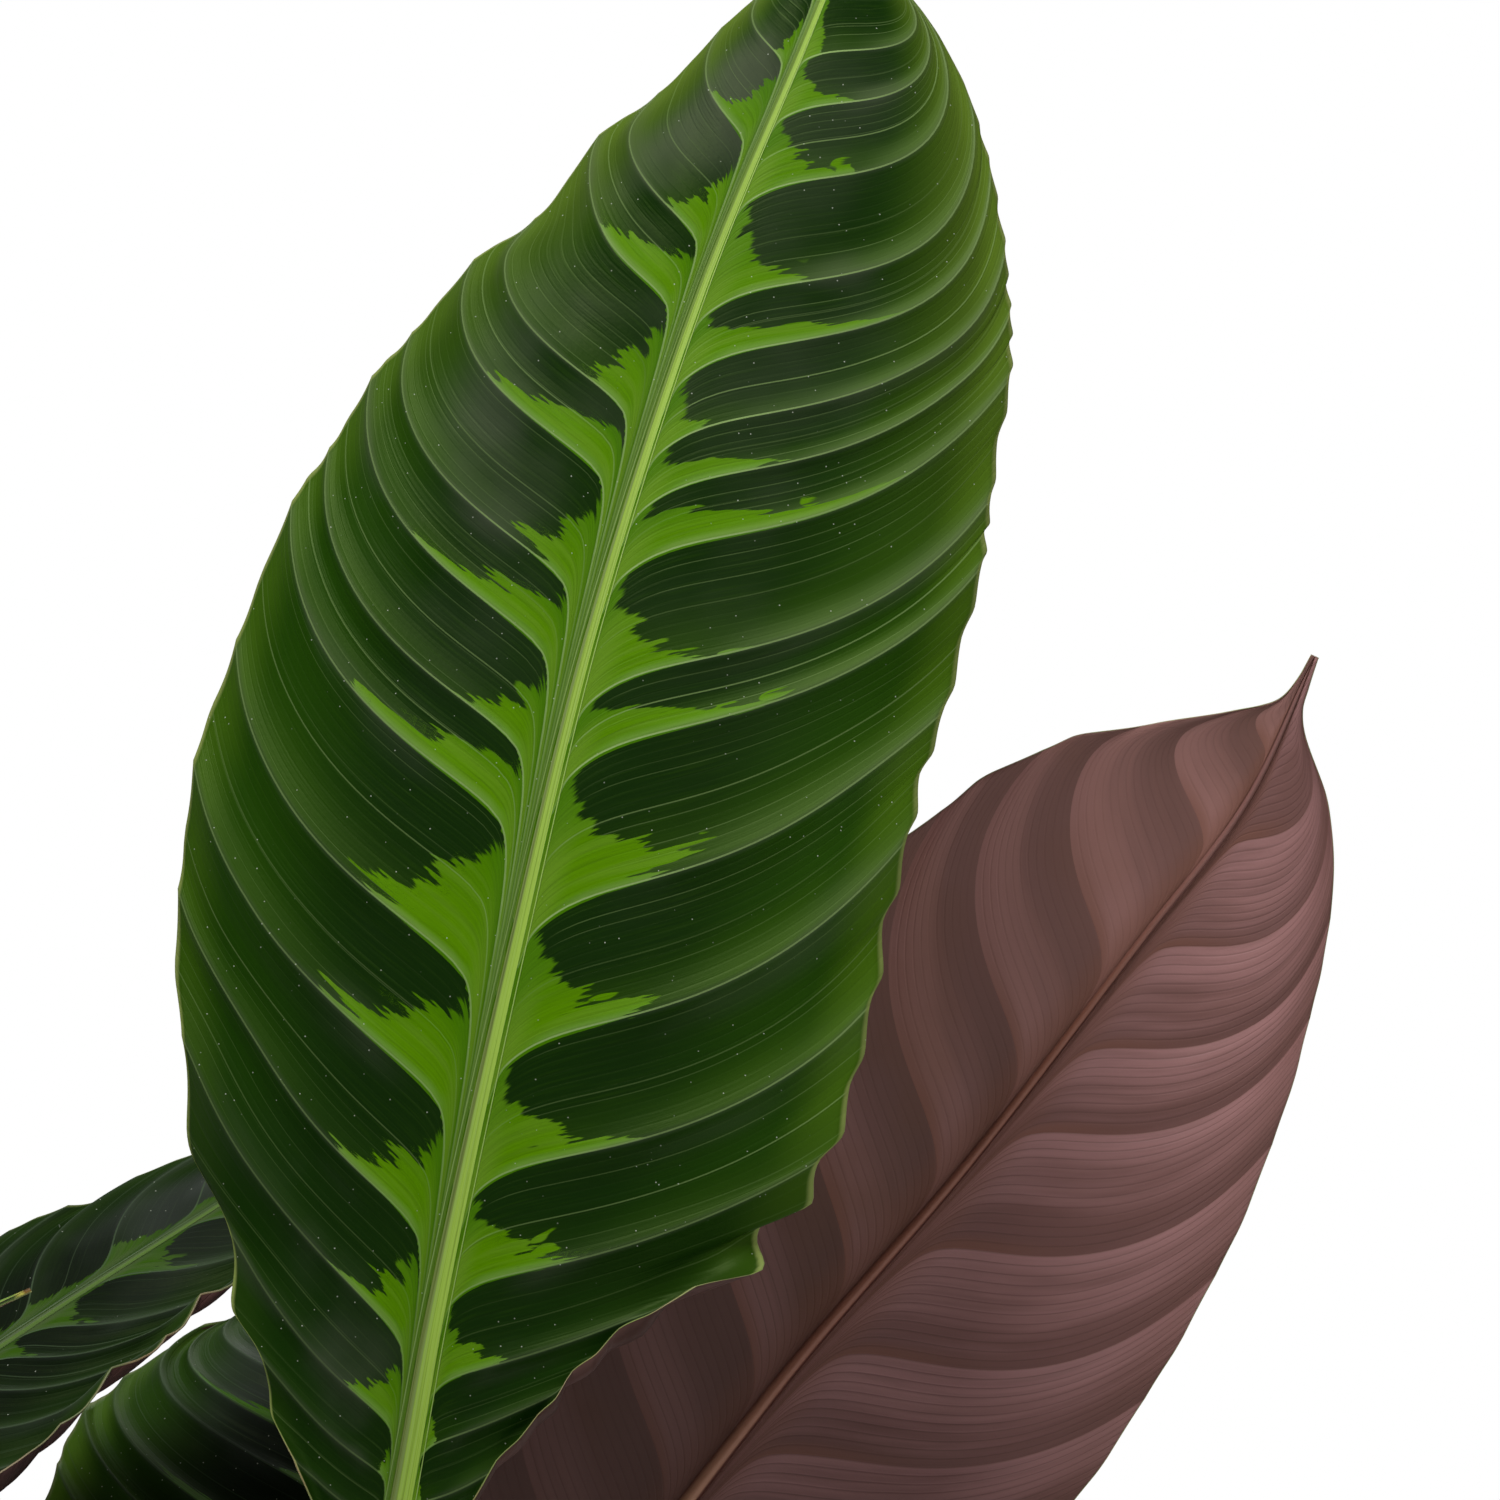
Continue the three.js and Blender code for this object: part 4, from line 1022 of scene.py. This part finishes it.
def leaf_upper(look_name):
    look = LOOKS[look_name]
    n = BladeNodes("leaf_upper_" + look_name)
    place = n.place()
    tufts = n.grain(n.fine, 0.9, 1.5, 1.0, 1.0, 0.5)
    streaks = n.grain(n.fine, 4.0, 4.0, 1.0, 2.0, 0.6)
    broad = n.grain(n.vein, 1.3, 1.6, 1.0, 2.0, 0.5)
    off_rib = n.ramp(n.across, 0.04, 0.14)
    wedge = light_wedge(n, tufts, streaks)
    dark = dark_green(n, look, streaks, broad)
    light = light_green(n, look, tufts, streaks, broad, off_rib)
    color = n.mix(wedge, dark, light)
    # Painted grey sheen, standing in for reflected light, weaker on the light green
    painted_sheen = n.mul(painted_grey_sheen(n, look, place, broad), n.ramp(wedge, 1.0, 0.0, 0.15, 1.0))
    color = n.mix(painted_sheen, color, look["grey"])
    color = vein_lines(n, look, wedge, off_rib, color)
    color = n.mix(n.ramp(n.across, 0.985, 0.997), color, look["edge"])
    color = dust(n, place, dry_tip(n, n.along, color))
    grooves = n.mul(n.ramp(n.to_fine, 0.2, 0.0), -0.3)
    height = n.add(grooves, n.mul(streaks, 0.6), n.mul(n.noise(place, 900, 2.0), 0.35))
    rough = n.ramp(broad, 0.3, 0.8, look["roughness"] - 0.06, look["roughness"] + 0.1)
    normal = n.bump(height, 0.00012)
    return n.finish(color, rough, normal, specular_ior_level=look["gloss"], specular_tint=SHEEN)


def leaf_rib(look_name):
    """The grooved upper side of the midrib, with fine lines along it. Its left side is darker, as painted
    shade, and its right side lighter, as a painted highlight.
    """
    look = LOOKS[look_name]
    n = Nodes("leaf_rib_" + look_name)
    along, side = n.read("along"), n.read("side")
    lines = n.noise(n.vector(n.mul(side, 6.0), n.mul(along, 3.0)), 1.0, 2.0, 0.6)
    # Painted light and shade: the left side of the rib darker, the right side lighter
    color = n.mix(n.ramp(side, -0.4, -0.2), look["rib_shaded"], look["rib_lit"])
    # Painted shade in the groove, olive, mostly towards the base
    groove = n.mul(n.ramp(side, -0.85, -0.7), n.ramp(side, -0.2, -0.4), n.ramp(along, 0.8, 0.45, 0.25, 1.0))
    color = n.mix(n.mul(groove, 0.6), color, look["groove"])
    color = n.mix(n.ramp(lines, 0.45, 0.65, 0.0, 0.4), color, look["line"])
    color = n.mix(n.ramp(lines, 0.5, 0.36, 0.0, 0.4), color, look["crest"])
    rim = n.ramp(n.math("ABSOLUTE", side), 0.86, 0.98)
    color = n.mix(n.mul(rim, 0.6), color, look["line"])
    normal = n.bump(lines, 0.00015)
    return n.finish(dry_tip(n, along, color), 0.45, normal, specular_ior_level=0.15)


def mauve(n):
    """The underside's mauve, lighter and darker by turns in each interval, which is painted light and shade
    of the pleats, and browner in the right half, which is painted shade and light shining through.
    """
    streaks = n.grain(n.fine, 1.0, 2.0, 1.2, 3.0, 0.6)
    broad = n.grain(n.vein, 2.2, 1.4, 1.0, 2.0, 0.5)
    bands = n.noise(n.vector(n.mul(n.vein, 5.5), n.mul(n.across, 1.1), n.mul(n.side, 3.0)), 1.0, 2.0, 0.6)
    # Painted light and shade of the pleats: lighter at one side vein of each interval, darker towards the
    # next
    from_bright = n.mix(n.halves(0.0, 1.0), n.share, n.sub(1.0, n.share))
    pleat_shading = n.ramp(n.add(from_bright, n.swing(broad, 0.8), n.swing(bands, 1.1)), 0.0, 1.0)
    color = n.mix(pleat_shading, rgb(106, 74, 70), rgb(150, 110, 109))
    # Painted shade and light shining through: browner in the right half
    color = n.mix(n.halves(0.0, 0.5), color, rgb(98, 69, 58))
    color = n.mix(n.ramp(streaks, 0.4, 0.75, 0.0, 0.3), color, rgb(96, 68, 64))
    color = n.mix(n.ramp(n.to_fine, 0.09, 0.03, 0.0, 0.4), color, rgb(78, 52, 48))
    color = n.mix(n.ramp(n.across, 0.75, 1.0, 0.0, 0.35), color, rgb(92, 62, 52))
    color = n.mix(n.ramp(n.vein_mm, 0.5, 0.15, 0.0, 0.4), color, rgb(116, 82, 76))
    return color, bands


def stains_and_painted_shade(n, place, bands, color):
    """Brown stain patches and bands of painted shade on the right, a painted highlight towards the tip,
    russet along veins and midrib, and painted shadow towards the base.
    """
    stain = n.mul(n.ramp(n.noise(place, 24, 2.0), 0.5, 0.68), n.halves(0.0, 0.45))
    color = n.mix(stain, color, rgb(98, 64, 38))
    # Painted shade: dark bands on the pleats of the right half
    dusk = n.mul(n.ramp(n.add(n.share, n.swing(bands, 0.6)), 0.1, 0.8), n.halves(0.0, 1.0))
    color = n.mix(n.mul(dusk, 0.55), color, rgb(78, 56, 50))
    # Painted highlight towards the tip, where the blade curves to the light
    tip_highlight = n.mul(n.ramp(n.along, 0.45, 0.85), n.sub(1.0, n.mul(dusk, 0.6)), n.halves(0.15, 0.65))
    color = n.mix(tip_highlight, color, rgb(164, 119, 112))
    by_vein = n.mul(n.ramp(n.share, 0.16, 0.02), n.ramp(n.across, 0.6, 0.1))
    russet = n.math("MAXIMUM", by_vein, n.ramp(n.across, 0.14, 0.0))
    color = n.mix(n.mul(russet, 0.55), color, rgb(120, 78, 62))
    # Painted shadow, darker towards the base, as cast by the leaf in front
    base = n.mul(n.ramp(n.along, 0.65, 0.25), n.halves(0.55, 0.7))
    return n.mix(base, color, rgb(60, 40, 36))


def leaf_under(look_name):
    n = BladeNodes("leaf_under_" + look_name)
    place = n.place()
    color, bands = mauve(n)
    color = stains_and_painted_shade(n, place, bands, color)
    # Painted shade on the underside of leaves in the shade
    color = n.mix(1.0, color, UNDER_TINTS[look_name], "MULTIPLY")
    height = n.add(n.mul(n.ramp(n.to_fine, 0.2, 0.0), -0.6), n.mul(n.noise(place, 1200, 2.0), 0.4))
    return n.finish(color, 0.5, n.bump(height, 0.00012), specular_ior_level=0.15)


def leaf_margin(look_name):
    n = Nodes("leaf_margin_" + look_name)
    patches = n.noise(n.place(), 90)
    color = n.mix(n.ramp(patches, 0.4, 0.7, 0.0, 0.6), LOOKS[look_name]["edge"], rgb(150, 118, 90))
    return n.finish(color, 0.5)


def leaf_stalk():
    n = Nodes("leaf_stalk")
    along, low, side = n.read("along"), n.read("low"), n.read("side")
    place = n.place()
    streaks = n.noise(n.vector(n.mul(low, 3.0), n.mul(along, 2.0)), 2.0, 3.0)
    green = n.mix(n.ramp(streaks, 0.3, 0.7), rgb(84, 104, 44), rgb(60, 82, 34))
    tan = n.mix(n.ramp(along, 0.2, 0.5), rgb(172, 132, 104), rgb(134, 88, 72))
    rib = n.mix(n.ramp(low, 0.2, 0.75), rgb(104, 66, 54), tan)
    # Painted shadow down one side of the rib's underside
    rib = n.mix(n.ramp(side, -0.35, -0.7), rib, rgb(74, 38, 31))
    rib = n.mix(n.ramp(along, 0.7, 0.93), rib, rgb(128, 90, 84))
    color = n.mix(n.ramp(along, -0.02, 0.02), green, rib)
    normal = n.bump(n.noise(place, 700, 2.0), 0.0001)
    return n.finish(color, 0.42, normal, specular_ior_level=0.35)


def pot_plastic():
    n = Nodes("pot_plastic")
    place = n.place()
    broad = n.noise(place, 14, 3.0)
    color = n.mix(n.ramp(broad, 0.35, 0.7), rgb(44, 44, 45), rgb(54, 54, 55))
    scuffs = n.ramp(n.noise(place, 180, 4.0, 0.7), 0.62, 0.75)
    color = n.mix(n.mul(scuffs, 0.25), color, rgb(84, 82, 78))
    normal = n.bump(n.noise(place, 1400, 2.0), 0.00008)
    return n.finish(color, n.ramp(broad, 0.3, 0.7, 0.5, 0.62), normal)


def soil_crumb():
    n = Nodes("soil_crumb")
    place = n.place()
    crumbs = n.cells(place, 420)
    color = n.mix(n.ramp(crumbs, 0.1, 0.6), rgb(58, 42, 32), rgb(24, 17, 13))
    color = n.mix(n.ramp(n.noise(place, 90, 3.0), 0.45, 0.7), color, rgb(74, 56, 42))
    height = n.add(n.mul(crumbs, -1.0), n.noise(place, 1500, 3.0))
    normal = n.bump(height, 0.001)
    return n.finish(color, 0.95, normal)


def make_leaf(name, leaf, materials):
    """One leaf: both halves of its blade and its stalk with the rib, as closed bodies in one piece."""
    shape = LeafShape(leaf)
    bodies = [half_mesh(shape, -1), half_mesh(shape, 1), stalk_mesh(shape)]
    labels = sorted({label for body in bodies for label in body[3]})
    merged = {label: [] for label in labels}
    points, faces, kinds = [], [], []
    count = 0
    for body_points, body_faces, body_kinds, attributes in bodies:
        points.append(body_points)
        faces += [np.asarray(face) + count for face in body_faces]
        kinds += list(body_kinds)
        for label in labels:
            merged[label].append(attributes.get(label, np.zeros(len(body_points))))
        count += len(body_points)
    merged = {label: np.concatenate(values) for label, values in merged.items()}
    slots = [materials[kind + leaf["look"]] for kind in ("upper_", "under_", "margin_", "rib_")]
    slots.append(materials["stalk"])
    obj = make_object(name + "_living", np.concatenate(points), faces, slots, kinds, merged)
    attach(obj, "root")
    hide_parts(name)


def outer_radius(height, pot_height):
    """Radius of the pot's outer wall under its rim, and on up to its mouth."""
    return POT_FOOT_RADIUS + (POT_MOUTH_RADIUS - POT_FOOT_RADIUS) / pot_height * height


def rounded(corner, before, after, radius, steps=5):
    """Points of a round corner between two straight stretches of a profile."""
    corner, before, after = (np.array(v, float) for v in (corner, before, after))
    a = corner + unit(before - corner) * radius
    b = corner + unit(after - corner) * radius
    t = np.linspace(0, 1, steps)[:, None]
    return list((1 - t) ** 2 * a + 2 * t * (1 - t) * corner + t * t * b)


def turned_body(name, profile, sides, material):
    """A body turned round the upright axis. The profile starts and ends on the axis."""
    profile = np.array(profile, float)
    angle = np.linspace(0, 2 * np.pi, sides, endpoint=False)
    radius, height = profile[1:-1].T
    ring = np.stack([
        radius[:, None] * np.cos(angle), radius[:, None] * np.sin(angle),
        np.repeat(height[:, None], sides, 1),
    ], -1)
    points = np.concatenate([ring.reshape(-1, 3), [(0, 0, profile[0][1]), (0, 0, profile[-1][1])]])
    faces = list(grid_faces(len(radius), sides))
    foot, head = len(points) - 2, len(points) - 1
    last = (len(radius) - 1) * sides
    for k in range(sides):
        faces.append([foot, (k + 1) % sides, k])
        faces.append([head, last + k, last + (k + 1) % sides])
    return make_object(name, points, faces, [material])


def cut_drain_hole(pot, angle):
    """Cuts one of the round holes through the pot's floor."""
    place = (DRAIN_CIRCLE * MM * math.cos(angle), DRAIN_CIRCLE * MM * math.sin(angle), 0)
    depth = 30 * MM
    bpy.ops.mesh.primitive_cylinder_add(vertices=32, radius=DRAIN_RADIUS * MM, depth=depth, location=place)
    cutter = bpy.context.object
    hole = pot.modifiers.new("hole", "BOOLEAN")
    hole.operation = "DIFFERENCE"
    hole.object = cutter
    bpy.context.view_layer.objects.active = pot
    bpy.ops.object.modifier_apply(modifier=hole.name)
    bpy.data.objects.remove(cutter)


def make_pot(material):
    pot_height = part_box("pot")[1].z / MM
    rim_foot = pot_height - RIM_HEIGHT
    rim_radius = POT_MOUTH_RADIUS + RIM_OVERHANG

    # Corners of the profile, from the axis at the bottom to the axis above the floor, and how round each is
    corners = [
        ((0, 0), 0),
        ((POT_FOOT_RADIUS, 0), 2.5),
        ((outer_radius(rim_foot, pot_height), rim_foot), 1.5),
        ((rim_radius, rim_foot), 1.5),
        ((rim_radius, pot_height), 1.3),
        ((POT_MOUTH_RADIUS - POT_WALL, pot_height), 1.3),
        ((outer_radius(POT_FLOOR, pot_height) - POT_WALL, POT_FLOOR), 3),
        ((0, POT_FLOOR), 0),
    ]
    profile = [corners[0][0]]
    for (before, _), (corner, radius), (after, _) in zip(corners, corners[1:], corners[2:]):
        profile += [tuple(q) for q in rounded(corner, before, after, radius)]
    profile.append(corners[-1][0])
    pot = turned_body("pot_finished", profile, 144, material)
    for i in range(DRAIN_HOLES):
        cut_drain_hole(pot, 2 * math.pi * i / DRAIN_HOLES)
    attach(pot, "root")
    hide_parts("pot")


def soil_relief(x, y):
    """Height of the lumps and crumbs on the soil's dome."""
    lumps = 1.2 * (np.sin(x / 8.5 + 1) * np.cos(y / 10.5) + 0.6 * np.sin((x + y) / 6.1))
    crumbs = 0.5 * np.sin(x / 1.9 + 2 * np.sin(y / 3.1)) * np.cos(y / 2.3 + np.sin(x / 2.7))
    return lumps + crumbs


def make_soil(material):
    pot_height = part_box("pot")[1].z / MM
    bottom = POT_FLOOR + SOIL_CLEARANCE
    foot_radius, top_radius = (
        outer_radius(z, pot_height) - POT_WALL - SOIL_CLEARANCE for z in (bottom, SOIL_LEVEL)
    )
    rings, sides = 90, 240
    share = np.linspace(1, 0, rings + 1)
    profile = [(0, bottom), (foot_radius, bottom)]
    profile += [(top_radius * q, SOIL_LEVEL + SOIL_DOME * (1 - q * q)) for q in share]
    soil = turned_body("soil_crumbs", profile, sides, material)
    count = len(soil.data.vertices)
    places = np.zeros(count * 3, np.float32)
    soil.data.vertices.foreach_get("co", places)
    places = places.reshape(-1, 3)
    x, y, z = places.T / MM
    level_edge = 3
    inside = np.clip((top_radius - np.hypot(x, y)) / level_edge, 0, 1)
    near_top = z > SOIL_LEVEL - 0.5
    lift = np.where(near_top, soil_relief(x, y) * inside, 0)
    places[:, 2] += (lift * MM).astype(np.float32)
    soil.data.vertices.foreach_set("co", places.ravel())
    soil.data.update()
    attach(soil, "root")
    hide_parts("soil")


def make_camera():
    camera = bpy.data.cameras.new("camera")
    camera.lens_unit = "FOV"
    camera.angle = 2 * math.atan(CAMERA_HALF_FRAME / CAMERA_FRAME_DISTANCE)
    camera.clip_start = 0.1
    camera.clip_end = 50
    obj = bpy.data.objects.new("camera", camera)
    obj.location = [v * MM for v in CAMERA_PLACE]
    obj.rotation_euler = (math.radians(90), 0, 0)
    bpy.context.scene.collection.objects.link(obj)
    bpy.context.scene.camera = obj


def area_light(name, place, target, size, power):
    light = bpy.data.lights.new(name, "AREA")
    light.shape = "RECTANGLE"
    light.size, light.size_y = size
    light.energy = power
    obj = bpy.data.objects.new(name, light)
    obj.location = place
    direction = Vector(target) - Vector(place)
    obj.rotation_euler = direction.to_track_quat("-Z", "Y").to_euler()
    bpy.context.scene.collection.objects.link(obj)


def make_lights():
    middle = (0.15, 0, 0.6)
    area_light("key", (-0.4, -1.0, 2.5), middle, (0.9, 0.9), 42)
    area_light("fill", (1.2, -2.0, 1.2), middle, (1.2, 1.6), 8)
    area_light("back", (0.3, 1.6, 1.8), middle, (1.4, 1.2), 10)


def make_background():
    """Seen as pure white, while it lights the plant only faintly."""
    world = bpy.data.worlds.new("studio")
    bpy.context.scene.world = world
    world.use_nodes = True
    tree = world.node_tree
    tree.nodes.clear()
    seen, lighting = (tree.nodes.new("ShaderNodeBackground") for _ in range(2))
    for node, strength in ((seen, 1), (lighting, 0.2)):
        node.inputs["Color"].default_value = (1, 1, 1, 1)
        node.inputs["Strength"].default_value = strength
    path = tree.nodes.new("ShaderNodeLightPath")
    mix = tree.nodes.new("ShaderNodeMixShader")
    output = tree.nodes.new("ShaderNodeOutputWorld")
    tree.links.new(path.outputs["Is Camera Ray"], mix.inputs["Fac"])
    tree.links.new(lighting.outputs[0], mix.inputs[1])
    tree.links.new(seen.outputs[0], mix.inputs[2])
    tree.links.new(mix.outputs[0], output.inputs["Surface"])


def make_floor():
    """A pale round floor that fades into the white of the background at its rim."""
    n = Nodes("floor_card")
    radius, sides = 2500, 96
    gap, fade_start = 0.1, 1.0
    place = n.place()
    color = n.mix(n.noise(place, 3), rgb(238, 238, 236), rgb(244, 244, 243))
    from_middle = n.node("VectorMath", {0: place}, "Value", operation="LENGTH")
    rim = n.ramp(from_middle, fade_start, radius * MM)
    color = n.mix(rim, color, (0, 0, 0))
    material = n.finish(color, 0.9, emission_color=(1, 1, 1), emission_strength=rim, specular_ior_level=0.0)
    angle = np.linspace(0, 2 * np.pi, sides, endpoint=False)
    points = np.stack([radius * np.cos(angle), radius * np.sin(angle), np.full(sides, -gap)], 1)
    floor = make_object("floor", points, [list(range(sides))], [material])


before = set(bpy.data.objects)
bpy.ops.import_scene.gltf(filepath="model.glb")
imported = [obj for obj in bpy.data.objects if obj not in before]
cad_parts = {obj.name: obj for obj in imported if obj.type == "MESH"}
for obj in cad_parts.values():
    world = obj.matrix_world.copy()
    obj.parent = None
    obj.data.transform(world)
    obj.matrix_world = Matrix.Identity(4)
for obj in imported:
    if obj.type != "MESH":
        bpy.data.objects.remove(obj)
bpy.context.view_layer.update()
bpy.context.scene.view_settings.view_transform = "Standard"
make_camera()
make_background()
make_lights()
make_floor()
leaf_materials = {"stalk": leaf_stalk()}
for look_name in LOOKS:
    leaf_materials["upper_" + look_name] = leaf_upper(look_name)
    leaf_materials["under_" + look_name] = leaf_under(look_name)
    leaf_materials["rib_" + look_name] = leaf_rib(look_name)
    leaf_materials["margin_" + look_name] = leaf_margin(look_name)
for leaf_name, leaf_data in LEAVES.items():
    make_leaf(leaf_name, leaf_data, leaf_materials)
make_pot(pot_plastic())
make_soil(soil_crumb())
